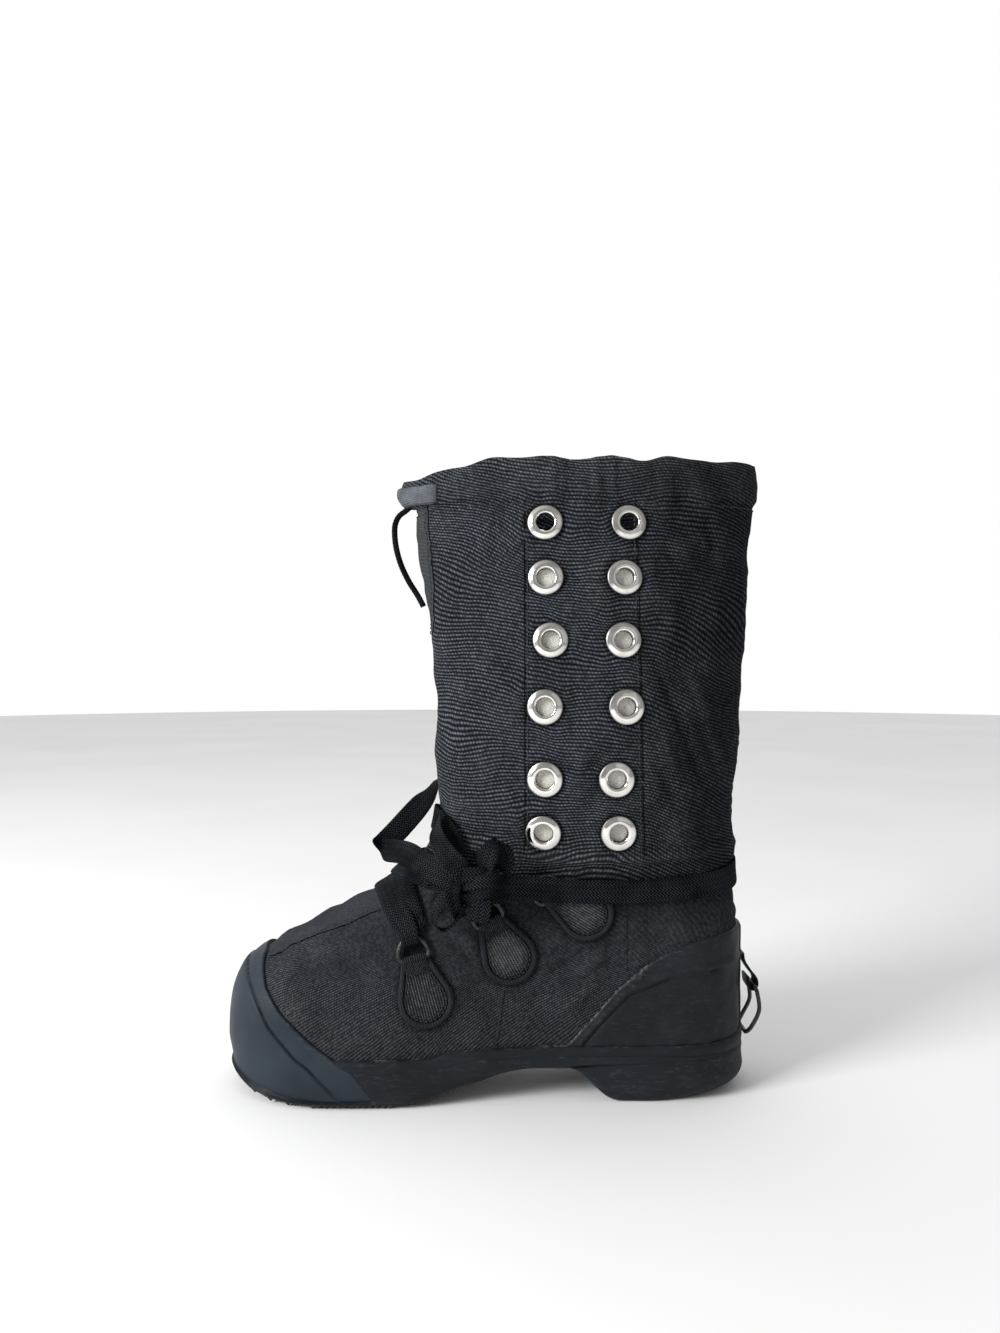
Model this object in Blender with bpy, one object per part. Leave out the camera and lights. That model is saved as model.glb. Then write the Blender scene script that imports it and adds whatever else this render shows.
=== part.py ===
"""Cold-weather canvas boot on a moulded rubber bottom, the left one of a pair.

The toe points to -Y, +X is the outer side of the foot and the boot stands on z = 0. The origin is the
middle of the flat under the heel. The body of the boot is one form, worked out from a side profile and
a plan: the canvas upper is a shell of it, and the rubber parts are cut from thicker shells of it.
"""

import math
from collections import namedtuple

import bpy
import numpy as np
from mathutils import Matrix, Vector

MM = 0.001
GAP = 0.3 * MM
ACROSS_ALL = (-100 * MM, 100 * MM)

# ---------------------------------------------------------------- driving sizes
CANVAS_WALL = 2.0 * MM
RUBBER_WALL = 3.0 * MM
COUNTER_WALL = 2.5 * MM
SOLE_FLARE = 3.4 * MM
INSOLE_THICK = 4.0 * MM
INSOLE_PLAY = 1.0 * MM
HEEL_LEAST = 18.0 * MM
COLLAR_HEIGHT = 370.0 * MM
COLLAR_DROP = 10.0 * MM
COLLAR_DROP_RUN = 55.0 * MM

SIDE_STEPS = 16
SOLE_STEPS = 26
SOLE_EVENNESS = 0.35
BAND_STEPS = 26
COUNTER_STEPS = 8

# Side view of the canvas form: its front and back edges at each height, its half thickness there as a
# standing tube, and how square that tube is. Millimetres.
Slice = namedtuple("Slice", "height front back half_thick square")
SLICES = [
    Slice(0, -250.0, 40.0, 34.0, 2.4),
    Slice(9, -256.5, 41.5, 34.0, 2.4),
    Slice(21, -259.7, 42.0, 34.0, 2.4),
    Slice(33, -261.3, 42.3, 34.0, 2.4),
    Slice(45, -260.4, 42.2, 34.5, 2.4),
    Slice(58, -258.0, 42.1, 35.0, 2.4),
    Slice(68, -253.3, 42.2, 35.5, 2.4),
    Slice(75, -246.6, 42.3, 36.0, 2.4),
    Slice(80, -238.6, 42.4, 36.5, 2.4),
    Slice(91, -221.9, 42.4, 37.0, 2.4),
    Slice(106, -191.4, 42.2, 38.0, 2.4),
    Slice(119, -167.7, 41.2, 39.0, 2.4),
    Slice(133, -151.0, 40.4, 40.5, 2.35),
    Slice(147, -141.2, 40.2, 42.0, 2.3),
    Slice(165, -137.6, 41.0, 43.0, 2.3),
    Slice(192, -137.9, 42.6, 43.5, 2.25),
    Slice(228, -139.2, 45.0, 43.0, 2.2),
    Slice(265, -141.0, 48.0, 41.0, 2.1),
    Slice(296, -145.7, 48.8, 38.0, 2.0),
    Slice(323, -150.0, 50.5, 35.0, 1.95),
    Slice(344, -150.8, 53.2, 32.8, 1.9),
    Slice(348, -158.0, 53.8, 32.4, 1.9),
    Slice(353, -160.0, 54.4, 31.9, 1.9),
    Slice(360, -158.5, 54.6, 31.3, 1.9),
    Slice(370, -157.0, 53.6, 30.5, 1.9),
]

# Plan of the foot at its widest level: half width and how far its middle stands off the heel's axis.
Station = namedtuple("Station", "along half_width middle")
STATIONS = [
    Station(-262, 49.0, -6.0),
    Station(-225, 48.6, -3.6),
    Station(-205, 48.2, -2.8),
    Station(-185, 47.4, -2.3),
    Station(-160, 44.8, -0.8),
    Station(-130, 39.5, 1.5),
    Station(-100, 34.6, 2.8),
    Station(-70, 32.4, 2.4),
    Station(-40, 32.8, 1.2),
    Station(-10, 34.0, 0.4),
    Station(43, 34.0, 0.0),
]
TOE_ROUND_RUN = 74 * MM
TOE_ROUND_SHAPE = 2.25
HEEL_ROUND_RUN = 40 * MM
HEEL_ROUND_SHAPE = 2.2
WIDEST_HEIGHT = 30 * MM
CROWN_SHAPE = 2.5
CROWN_FULLNESS = 2.1
UNDER_TUCK = 0.05
SHAFT_STARTS = 85 * MM
SHAFT_FULL = 160 * MM
OVER_PIVOT = 55 * MM

# Side view of the sole: its underside, the line where the upper stands on it and the top of the side
# band, along the foot. Millimetres.
SoleRow = namedtuple("SoleRow", "along underside rim band_top")
SOLE_ROWS = [
    SoleRow(-268, 13.0, 23.0, 29.0),
    SoleRow(-256, 8.0, 22.0, 28.6),
    SoleRow(-243, 3.2, 20.8, 28.2),
    SoleRow(-228, 0.9, 20.2, 28.0),
    SoleRow(-215, 0.0, 20.0, 27.6),
    SoleRow(-155, 0.0, 20.0, 27.4),
    SoleRow(-140, 3.0, 20.8, 28.0),
    SoleRow(-128, 6.9, 23.8, 30.8),
    SoleRow(-117, 11.6, 25.2, 31.2),
    SoleRow(-105, 15.9, 25.8, 31.4),
    SoleRow(-94, 18.6, 26.0, 31.6),
    SoleRow(-82, 19.7, 26.2, 31.8),
    SoleRow(-62, 19.4, 26.2, 32.0),
    SoleRow(-50, 20.6, 26.3, 31.6),
    SoleRow(52, 20.6, 26.5, 33.4),
]

# Outlines seen from the side, as (along, height) in millimetres.
TOE_CAP_EDGE = [
    (-243.0, 92.0),
    (-240.5, 82.0),
    (-239.5, 74.0),
    (-235.0, 63.0),
    (-224.0, 51.0),
    (-208.0, 38.0),
    (-193.0, 27.0),
    (-182.0, 20.0),
    (-176.0, 12.0),
    (-170.0, 4.0),
]
TOE_CAP_FOOT = [
    (-195.0, 3.2),
    (-215.0, 3.4),
    (-228.0, 4.4),
    (-243.0, 7.0),
    (-256.0, 11.6),
    (-275.0, 18.0),
]
COUNTER_EDGE = [
    (-61.0, 32.6),
    (-54.0, 40.0),
    (-46.0, 48.5),
    (-33.0, 63.5),
    (-17.0, 77.0),
    (-2.0, 85.5),
    (12.0, 90.8),
    (28.0, 94.0),
    (55.0, 96.0),
]
HEEL_SIDE = [(-62.0, 25.0), (-60.0, 18.6), (-56.0, 16.4), (-43.0, 3.4), (-38.5, 0.0)]

# The heel's bulging side: heights with how far the side stands off the sole's flare there. Millimetres.
HEEL_BULGE = [(0.0, -3.0), (2.2, -0.6), (12.0, 0.8)]
SOLE_EDGE = 1.6 * MM

# Eyelets: each row's height and the places of its two columns. Millimetres.
EyeletRow = namedtuple("EyeletRow", "height front_column back_column")
EYELET_ROWS = [
    EyeletRow(332, -74.0, -25.8),
    EyeletRow(300, -73.8, -28.6),
    EyeletRow(264, -71.2, -29.8),
    EyeletRow(226, -74.5, -28.3),
    EyeletRow(185, -74.6, -34.0),
    EyeletRow(154.5, -75.5, -32.8),
]
EYELET_BORE = 5.0 * MM
EYELET_BARREL = 5.45 * MM
EYELET_FLANGE = 10.0 * MM
EYELET_FLANGE_THICK = 1.2 * MM
EYELET_SIDES = 8
EYELET_HOLE = 6.2 * MM
EYELET_HOLE_SIDES = 8
EYELET_SEAT = 0.1 * MM

# Lace tabs: the middle of each tab's round end and its lean from upright towards the toe.
TabPlace = namedtuple("TabPlace", "along height lean_deg")
TAB_PLACES = [
    TabPlace(-142.5, 59.5, 8.0),
    TabPlace(-95.5, 82.5, 32.0),
    TabPlace(-51.5, 106.0, 40.0),
]
TAB_ROUND = 16.0 * MM
TAB_NECK = 7.5 * MM
TAB_REACH = 24.0 * MM
TAB_CLEAR = 0.45 * MM
TAB_THICK = 1.8 * MM
TAB_FOLD = 2.2 * MM
TAB_FOLD_SIDES = 6
TAB_FOLD_HALF = 7.0 * MM
RING_HALF = 8.6 * MM
RING_WIRE = 1.3 * MM
RING_LIFT = 3.1 * MM
RING_SIDES = 5
# As shares of the ring's half width: how far its bow starts above its bar, and the bar's points.
RING_BOW_START = 0.35
RING_BAR = (-0.86, 0.0, 0.86)

# The light binding over the front of the collar casing, seen from the side.
PATCH_SIDE = [(-137.0, 348.0), (-137.0, 355.5), (-175.0, 355.0), (-175.0, 347.5)]
PATCH_THICK = 1.0 * MM

# Heel chape and bail, both on the middle plane at the back: paths as (along, height).
CHAPE_PATH = [
    (46.6, 76.0),
    (47.4, 71.5),
    (51.0, 65.5),
    (54.6, 60.8),
    (55.3, 57.2),
    (53.8, 54.4),
    (51.4, 54.4),
    (49.9, 57.2),
    (49.6, 61.5),
]
CHAPE_LAID = 3
CHAPE_FACES = (0.0, 1.0, 0.6)
CHAPE_WIDTH = 15.0 * MM
CHAPE_THICK = 1.6 * MM
BAIL_AXIS = (52.6, 57.2)
BAIL_LOW = (47.4, 29.5)
BAIL_BOW = 5.0 * MM
BAIL_HALF_WIDTH = 11.0 * MM
BAIL_WIRE = 1.25 * MM
# One side of the bail: its place across, as a share of the half width, and down from the axis.
BAIL_SHAPE = [(0.78, 0.0), (1.0, 0.12), (1.0, 0.5), (1.0, 0.86), (0.78, 1.0)]
BAIL_FACES = (0.0, 1.0, 0.15)

TAPE_WIDTH = 14.0 * MM
TAPE_THICK = 1.1 * MM
DRAWCORD = 3.5 * MM

# The lace's bars over the foot: their turn from level on the outer side, up over the ridge and down the
# inner side, with the place along the foot and the lift off the canvas. Millimetres.
BarRow = namedtuple("BarRow", "turn_deg along lift")
LOW_BAR = [
    BarRow(44, -150.5, 6.3),
    BarRow(66, -162.0, 2.8),
    BarRow(90, -169.5, 1.9),
    BarRow(114, -162.0, 2.8),
    BarRow(136, -150.5, 6.3),
]
HIGH_BAR = [
    BarRow(47, -146.0, 5.6),
    BarRow(67, -154.0, 3.4),
    BarRow(90, -159.0, 2.5),
    BarRow(108, -147.0, 4.0),
    BarRow(118, -133.0, 5.0),
    BarRow(121, -115.0, 5.6),
]
SECOND_BAR_LIFT = 0.7
BAR_STEPS = 2

# The lace's turn round the ankle, from the knot along the outer side, round the heel and back over the
# instep: its place as a turn about the leg from the front, its height and its lift off the canvas.
WrapRow = namedtuple("WrapRow", "turn_deg height lift")
WRAP_ROWS = [
    WrapRow(59, 125.2, 7.2),
    WrapRow(76, 124.5, 6.4),
    WrapRow(90, 123.0, 6.4),
    WrapRow(104, 121.5, 4.0),
    WrapRow(125, 121.5, 1.6),
    WrapRow(152, 124.0, 1.5),
    WrapRow(180, 128.0, 1.5),
    WrapRow(208, 126.0, 1.5),
    WrapRow(235, 123.5, 1.6),
    WrapRow(256, 124.0, 4.0),
    WrapRow(270, 125.5, 6.4),
    WrapRow(285, 129.0, 6.4),
    WrapRow(305, 139.0, 3.6),
    WrapRow(335, 152.0, 2.2),
    WrapRow(360, 158.0, 2.0),
    WrapRow(379, 156.0, 2.2),
    WrapRow(392, 149.0, 3.6),
    WrapRow(402, 138.5, 9.0),
]
WRAP_STEPS = 2

# Free lengths of the lace: points along each, with the way its flat faces. Millimetres.
TapeRow = namedtuple("TapeRow", "x y z face_x face_y face_z")
SLACK_ROWS = [
    TapeRow(-24, -141.0, 177.0, -0.2, -0.9, 0.4),
    TapeRow(-14, -150.0, 166.0, 0.2, -0.7, -0.6),
    TapeRow(-4, -163.0, 151.0, 0.3, -0.7, -0.6),
    TapeRow(2, -173.0, 140.5, 0.6, -0.8, -0.2),
    TapeRow(9, -169.0, 137.0, 0.8, -0.3, 0.5),
    TapeRow(20, -157.0, 136.5, 0.8, -0.4, 0.4),
    TapeRow(34, -143.0, 134.0, 0.8, -0.5, 0.3),
    TapeRow(44, -130.5, 130.0, 0.8, -0.5, 0.3),
    TapeRow(48.2, -122.9, 128.9, 0.8, -0.5, 0.3),
]
PEAK_LOOP_ROWS = [
    TapeRow(52.3, -110.0, 136.8, 0.9, 0.3, 0.3),
    TapeRow(56, -104.0, 147.0, 0.9, 0.4, -0.1),
    TapeRow(54, -99.5, 152.5, 0.3, 0.3, 0.9),
    TapeRow(50, -95.0, 147.0, -0.7, 0.6, 0.3),
    TapeRow(49, -98.0, 137.0, -0.8, 0.5, 0.0),
]
HANGING_LOOP_ROWS = [
    TapeRow(52.2, -122.2, 124.4, 0.8, -0.5, 0.2),
    TapeRow(54, -133.5, 117.0, 0.5, -0.9, 0.0),
    TapeRow(54, -136.5, 107.5, 0.3, -0.8, -0.5),
    TapeRow(53, -131.0, 103.0, 0.1, 0.0, -1.0),
    TapeRow(53, -124.0, 108.5, 0.1, 0.9, -0.3),
    TapeRow(53, -118.5, 118.0, 0.2, 0.9, -0.2),
]
TAIL_ROWS = [
    TapeRow(54.5, -110.0, 121.5, 1.0, 0.0, 0.3),
    TapeRow(56, -110.5, 114.0, 1.0, 0.0, 0.2),
    TapeRow(56, -112.0, 107.5, 1.0, 0.0, 0.2),
]
LOOP_STEPS = 2
LOOP_WIDTH = 11.0 * MM
KNOT_MIDDLE = (50.8, -113.5, 129.0)
KNOT_HALF = (6.5, 9.5, 8.0)
KNOT_LEVELS = (-0.92, -0.45, 0.0, 0.45, 0.92)
KNOT_SIDES = 10

# The drawcord's loop in front of the collar.
CORD_ROWS = [
    (1.0, -155.0, 345.6),
    (1.5, -157.5, 343.4),
    (2.0, -161.5, 340.0),
    (2.5, -163.8, 334.0),
    (2.5, -163.6, 325.0),
    (2.5, -161.8, 316.0),
    (2.0, -159.0, 308.0),
    (1.5, -155.0, 300.0),
    (1.0, -150.6, 293.0),
    (0.8, -147.8, 288.0),
    (0.6, -146.6, 285.4),
]


# ---------------------------------------------------------------- curves and the form
class Curve:
    """A smooth curve through a short table that never swings past its rows."""

    def __init__(self, places, values):
        self.places = np.array(places, float)
        self.values = np.array(values, float)
        rise = np.diff(self.values) / np.diff(self.places)
        product = rise[:-1] * rise[1:]
        total = np.where(product > 0, rise[:-1] + rise[1:], 1.0)
        inner = np.where(product > 0, 2 * product / total, 0.0)
        self.slopes = np.concatenate([rise[:1], inner, rise[-1:]])

    def __call__(self, place):
        place = np.clip(place, self.places[0], self.places[-1])
        last = len(self.places) - 2
        row = np.clip(np.searchsorted(self.places, place, side="right") - 1, 0, last)
        run = self.places[row + 1] - self.places[row]
        t = (place - self.places[row]) / run
        start, end = self.values[row], self.values[row + 1]
        bend_in, bend_out = self.slopes[row] * run, self.slopes[row + 1] * run
        level = start * (1 + 2 * t) * (1 - t) ** 2 + end * t * t * (3 - 2 * t)
        return level + bend_in * t * (1 - t) ** 2 - bend_out * t * t * (1 - t)


def column(rows, key, name):
    """The smooth curve of one column of a table against another, in metres."""
    return Curve([getattr(r, key) * MM for r in rows], [getattr(r, name) * MM for r in rows])


front_edge = column(SLICES, "height", "front")
back_edge = column(SLICES, "height", "back")
half_thick = column(SLICES, "height", "half_thick")
squareness = Curve([s.height * MM for s in SLICES], [s.square for s in SLICES])
plan_half = column(STATIONS, "along", "half_width")
plan_middle = column(STATIONS, "along", "middle")
underside = column(SOLE_ROWS, "along", "underside")
rim_height = column(SOLE_ROWS, "along", "rim")
band_top = column(SOLE_ROWS, "along", "band_top")

# The crown line of the foot is the front edge read the other way, from the toe's foremost point up.
CROWN_LOW, CROWN_HIGH = 33 * MM, 152 * MM
CROWN_CLIMB = 9.0
crown_rows = np.arange(CROWN_LOW, CROWN_HIGH, 0.25 * MM)
crown_places = front_edge(crown_rows)


def crown_height(y):
    """Height of the foot's ridge over a place along it; under the shaft it climbs on, out of reach."""
    past = np.maximum(y - crown_places[-1], 0)
    return np.interp(y, crown_places, crown_rows) + CROWN_CLIMB * past


def smoothstep(low, high, value):
    t = np.clip((value - low) / (high - low), 0, 1)
    return t * t * (3 - 2 * t)


def rounded(distance, run, shape):
    """A superellipse's quarter: 0 at the end of the foot, 1 a run away from it."""
    near = np.clip(1 - distance / run, 0, 1)
    return (1 - near**shape) ** (1 / shape)


def half_width(y, z):
    """Half the width of the boot's form at a place along it and a height."""
    y, z = np.broadcast_arrays(np.asarray(y, float), np.asarray(z, float))
    tip = np.where(z < WIDEST_HEIGHT, front_edge(z), front_edge(WIDEST_HEIGHT))
    toe = rounded(y - tip, TOE_ROUND_RUN, TOE_ROUND_SHAPE)
    heel = rounded(back_edge(z) - y, HEEL_ROUND_RUN, HEEL_ROUND_SHAPE)
    rise = np.clip((z - WIDEST_HEIGHT) / (crown_height(y) - WIDEST_HEIGHT), 0, 1)
    crown = (1 - rise**CROWN_SHAPE) ** (1 / CROWN_FULLNESS)
    tuck = 1 - UNDER_TUCK * np.clip(1 - z / WIDEST_HEIGHT, 0, 1) ** 2
    foot = plan_half(y) * toe * heel * crown * tuck
    middle = (front_edge(z) + back_edge(z)) / 2
    reach = (back_edge(z) - front_edge(z)) / 2
    across = np.clip(np.abs(y - middle) / reach, 0, 1)
    tube = half_thick(z) * (1 - across ** squareness(z)) ** (1 / squareness(z))
    share = smoothstep(SHAFT_STARTS, SHAFT_FULL, z)
    return (1 - share) * foot + share * tube


def middle_line(y, z):
    """Sideways place of the form's middle, which the shaft brings back over the heel's axis."""
    return plan_middle(y) * (1 - smoothstep(SHAFT_STARTS, SHAFT_FULL, z))


def level_height(level, y):
    """A level's height over a place: low levels follow the sole's rim, the top ones the collar."""
    low = np.clip((70 * MM - level) / (70 * MM - rim_height(0.0)), 0, 1)
    high = np.clip((level - 325 * MM) / (COLLAR_HEIGHT - 325 * MM), 0, 1)
    drop = COLLAR_DROP * (1 - smoothstep(0, COLLAR_DROP_RUN, y - front_edge(COLLAR_HEIGHT)))
    return level + (rim_height(y) - rim_height(0.0)) * low - drop * high


def ring(level, steps, evenness=0.0):
    """The form's outline at a level: nose, outer side to the back, then the inner side to the nose.

    The points crowd towards both ends, less so with more evenness.
    """
    nose, back = front_edge(level), back_edge(level)
    for _ in range(12):
        nose = front_edge(level_height(level, nose))
        back = back_edge(level_height(level, back))
    turn = np.linspace(0, math.pi, steps + 1)
    share = (1 - evenness) * (1 - np.cos(turn)) / 2 + evenness * turn / math.pi
    y = nose + (back - nose) * share
    z = level_height(level, y)
    half = half_width(y, z)
    half[0] = half[-1] = 0
    middle = middle_line(y, z)
    outer = np.stack([middle + half, y, z], 1)
    inner = np.stack([middle - half, y, z], 1)[-2:0:-1]
    return np.concatenate([outer, inner])


def normals_of(grid):
    """Outward normals of a stack of rings."""
    around = np.roll(grid, -1, 1) - np.roll(grid, 1, 1)
    up = np.gradient(grid, axis=0)
    normal = np.cross(around, up)
    return normal / np.linalg.norm(normal, axis=2, keepdims=True)


def form(levels, offset, steps=SIDE_STEPS):
    """The form's surface as rings, moved out by offset along its normals."""
    grid = np.array([ring(level, steps) for level in levels])
    return grid + normals_of(grid) * offset


def leg_point(turn, height):
    """A point of the form at a turn about the leg, from its front round the outer side."""
    front, back = front_edge(height), back_edge(height)
    y = (front + back) / 2 - (back - front) / 2 * math.cos(turn)
    side = 1 if math.sin(turn) >= 0 else -1
    return np.array([middle_line(y, height) + side * half_width(y, height), y, height])


def over_point(along, turn):
    """A point of the foot's form on a ray that leans by turn from +X, over the vamp's inner line."""
    reach = np.linspace(0, 130 * MM, 521)
    x = reach * math.cos(turn)
    z = OVER_PIVOT + reach * math.sin(turn)
    inside = (half_width(along, z) > np.abs(x)) & (z < crown_height(along))
    edge = np.argmin(inside)
    return np.array([middle_line(along, z[edge]) + x[edge], along, z[edge]])


def across_of(point_at, first, second, step_first, step_second):
    """The point and outward normal of a surface of two measures."""
    here = point_at(first, second)
    one = point_at(first + step_first, second) - point_at(first - step_first, second)
    two = point_at(first, second + step_second) - point_at(first, second - step_second)
    normal = np.cross(one, two)
    return here, normal / np.linalg.norm(normal)


def through(rows, steps):
    """A Catmull-Rom curve through the rows, which are points or points with more values."""
    rows = np.array(rows, float)
    ends = np.concatenate([[2 * rows[0] - rows[1]], rows, [2 * rows[-1] - rows[-2]]])
    found = []
    for a, b, c, d in zip(ends, ends[1:], ends[2:], ends[3:]):
        for t in np.arange(steps) / steps:
            bend = (2 * a - 5 * b + 4 * c - d) * t * t + (3 * b - a - 3 * c + d) * t**3
            found.append((2 * b + (c - a) * t + bend) / 2)
    return np.array(found + [rows[-1]])


# ---------------------------------------------------------------- meshes and objects
def material(name, colour, roughness, metallic=0.0):
    made = bpy.data.materials.new(name)
    made.use_nodes = True
    shader = made.node_tree.nodes["Principled BSDF"]
    shader.inputs["Base Color"].default_value = (*colour, 1)
    shader.inputs["Roughness"].default_value = roughness
    shader.inputs["Metallic"].default_value = metallic
    return made


def add_object(name, points, faces, finish, smooth_angle=35):
    mesh = bpy.data.meshes.new(name)
    mesh.from_pydata([tuple(p) for p in points], [], faces)
    mesh.validate()
    obj = bpy.data.objects.new(name, mesh)
    bpy.context.scene.collection.objects.link(obj)
    if finish is not None:
        mesh.materials.append(finish)
        mesh.shade_smooth()
        mesh.set_sharp_from_angle(angle=math.radians(smooth_angle))
    return obj


def add_cutter(name, points, faces):
    cutter = add_object(name, points, faces, None)
    cutter.hide_render = True
    cutter.display_type = "WIRE"
    return cutter


def boolean(obj, cutter, operation):
    step = obj.modifiers.new(f"{operation.lower()} {cutter.name}", "BOOLEAN")
    step.operation = operation
    step.solver = "EXACT"
    step.object = cutter
    return obj


def band_faces(count, lower, upper):
    """Quads between two rings of the same count, facing out, from their first point numbers."""
    pairs = [(i, (i + 1) % count) for i in range(count)]
    return [(lower + a, lower + b, upper + b, upper + a) for a, b in pairs]


def strip_faces(count, first, upwards):
    """Closes a ring from side to side, matching each outer point with its inner one."""
    half = count // 2
    outer = [first + i for i in range(half + 1)]
    inner = [first] + [first + count - i for i in range(1, half)] + [first + half]
    faces = []
    for i in range(half):
        face = [outer[i], outer[i + 1], inner[i + 1], inner[i]]
        kept = [p for k, p in enumerate(face) if p not in face[:k]]
        faces.append(tuple(kept if upwards else reversed(kept)))
    return faces


def shell(levels, inner, outer, steps=SIDE_STEPS):
    """Points and faces of a hollow wall of the form, open at both ends."""
    skins = [form(levels, outer, steps), form(levels, inner, steps)]
    rows, count = skins[0].shape[:2]
    points = np.concatenate([s.reshape(-1, 3) for s in skins])
    inside = rows * count
    faces = []
    for row in range(rows - 1):
        low, high = row * count, (row + 1) * count
        faces += band_faces(count, low, high)
        faces += [tuple(reversed(f)) for f in band_faces(count, inside + low, inside + high)]
    top = (rows - 1) * count
    faces += band_faces(count, top, inside + top)
    faces += [tuple(reversed(f)) for f in band_faces(count, 0, inside)]
    return points, faces


def stack(rings):
    """Points and faces of a solid through a list of rings, from the lowest up."""
    count = len(rings[0])
    points = np.concatenate(rings)
    faces = strip_faces(count, 0, False) + strip_faces(count, (len(rings) - 1) * count, True)
    for row in range(len(rings) - 1):
        faces += band_faces(count, row * count, (row + 1) * count)
    return points, faces


def prism(outline, low, high):
    """A side view's outline, in metres as (along, height), drawn out sideways from low to high."""
    count = len(outline)
    area = sum(
        outline[i][0] * outline[(i + 1) % count][1] - outline[(i + 1) % count][0] * outline[i][1]
        for i in range(count)
    )
    turned = outline if area > 0 else outline[::-1]
    points = [(low, y, z) for y, z in turned] + [(high, y, z) for y, z in turned]
    sides = [tuple(reversed(f)) for f in band_faces(count, 0, count)]
    ends = [tuple(range(count))[::-1], tuple(range(count, 2 * count))]
    return points, [tuple(reversed(f)) for f in sides] + ends


def in_metres(rows):
    return [tuple(value * MM for value in row) for row in rows]


def frames_along(path, facing_way, closed=False):
    """For each point of a path its side direction and its outward one, square to the path."""
    if closed:
        tangent = np.roll(path, -1, 0) - np.roll(path, 1, 0)
    else:
        tangent = np.gradient(path, axis=0)
    tangent /= np.linalg.norm(tangent, axis=1, keepdims=True)
    out = facing_way - tangent * np.sum(facing_way * tangent, axis=1, keepdims=True)
    out /= np.linalg.norm(out, axis=1, keepdims=True)
    return np.cross(out, tangent), out


def swept(path, facing_way, section, closed=False):
    """A solid of a section of (sideways, outwards) points, swept along a path."""
    side, out = frames_along(path, facing_way, closed)
    count, rows = len(section), len(path)
    points = [p + u * s + v * o for p, s, o in zip(path, side, out) for u, v in section]
    faces = []
    for row in range(rows if closed else rows - 1):
        faces += band_faces(count, row * count, (row + 1) % rows * count)
    if not closed:
        faces += [tuple(range(count))[::-1], tuple(range((rows - 1) * count, rows * count))]
    return points, faces


def tape_section(width, thick):
    u, v = width / 2, thick / 2
    return [(-u, v), (-u, -v), (u, -v), (u, v)]


def round_section(radius, sides):
    angles = [2 * math.pi * k / sides for k in range(sides)]
    return [(radius * math.cos(a), radius * math.sin(a)) for a in angles]


# ---------------------------------------------------------------- the canvas upper
FOOT_LEVELS = [27.6 * MM] + [m * MM for m in (36, 47, 58, 67, 75, 82, 90, 99, 109, 120, 132)]
SHAFT_LEVELS = [m * MM for m in (145, 163, 190, 220, 254, 290, 325, 349, 355, 362, 370)]
UPPER_LEVELS = FOOT_LEVELS + SHAFT_LEVELS
FORM_LEVELS = [m * MM for m in (2.5, 11, 19)] + FOOT_LEVELS


def side_frame(y, z, side):
    """A point of the form's side, with its outward normal and the two directions along it."""
    step = 0.5 * MM

    def at(along, height):
        across = middle_line(along, height) + side * half_width(along, height)
        return np.array([float(across), along, height])

    here = at(y, z)
    along = at(y + step, z) - at(y - step, z)
    up = at(y, z + step) - at(y, z - step)
    normal = np.cross(along, up) * side
    normal /= np.linalg.norm(normal)
    return here, normal


def facing(point, normal):
    """A matrix that stands local Z on the normal, with local Y leaning upwards."""
    z = Vector(normal).normalized()
    x = Vector((0, 0, 1)).cross(z).normalized()
    y = z.cross(x)
    turn = Matrix((x, y, z)).transposed().to_4x4()
    return Matrix.Translation(Vector(point)) @ turn


def eyelet_places():
    """Every eyelet's name, point and normal."""
    for side, word in ((1, "left"), (-1, "right")):
        number = 0
        for row in EYELET_ROWS:
            for y in (row.front_column, row.back_column):
                number += 1
                point, normal = side_frame(y * MM, row.height * MM, side)
                yield f"eyelet_{word}_{number:02d}", point, normal


def turned(profile, sides):
    """A ring turned about Z from a closed profile of (radius, height)."""
    count = len(profile)
    points, faces = [], []
    for k in range(sides):
        angle = 2 * math.pi * k / sides
        points += [(r * math.cos(angle), r * math.sin(angle), h) for r, h in profile]
        here, there = k * count, (k + 1) % sides * count
        for i in range(count):
            j = (i + 1) % count
            faces.append((here + i, there + i, there + j, here + j))
    return points, faces


def make_upper(canvas):
    points, faces = shell(UPPER_LEVELS, -CANVAS_WALL, 0.0)
    upper = add_object("upper", points, faces, canvas)
    cut_points, cut_faces = [], []
    sides = EYELET_HOLE_SIDES
    reach = 3 * CANVAS_WALL
    for _, point, normal in eyelet_places():
        place = facing(point, normal)
        first = len(cut_points)
        for height in (-reach, reach):
            for k in range(sides):
                angle = 2 * math.pi * k / sides
                spot = Vector((EYELET_HOLE * math.cos(angle), EYELET_HOLE * math.sin(angle), height))
                cut_points.append(place @ spot)
        cut_faces += band_faces(sides, first, first + sides)
        cut_faces.append(tuple(reversed(range(first, first + sides))))
        cut_faces.append(tuple(range(first + sides, first + 2 * sides)))
    holes = add_cutter("eyelet_holes", cut_points, cut_faces)
    return boolean(upper, holes, "DIFFERENCE")


def make_eyelets(steel):
    lip = GAP + EYELET_FLANGE_THICK
    profile = [
        (EYELET_BORE, -CANVAS_WALL - GAP),
        (EYELET_BORE, lip),
        (EYELET_FLANGE, 2 * GAP),
        (EYELET_BARREL, GAP),
        (EYELET_BARREL, -CANVAS_WALL - GAP),
    ]
    points, faces = turned(profile, EYELET_SIDES)
    faces = [tuple(reversed(f)) for f in faces]
    for name, point, normal in eyelet_places():
        eyelet = add_object(name, points, faces, steel)
        eyelet.matrix_world = facing(point + normal * EYELET_SEAT, normal)


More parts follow.
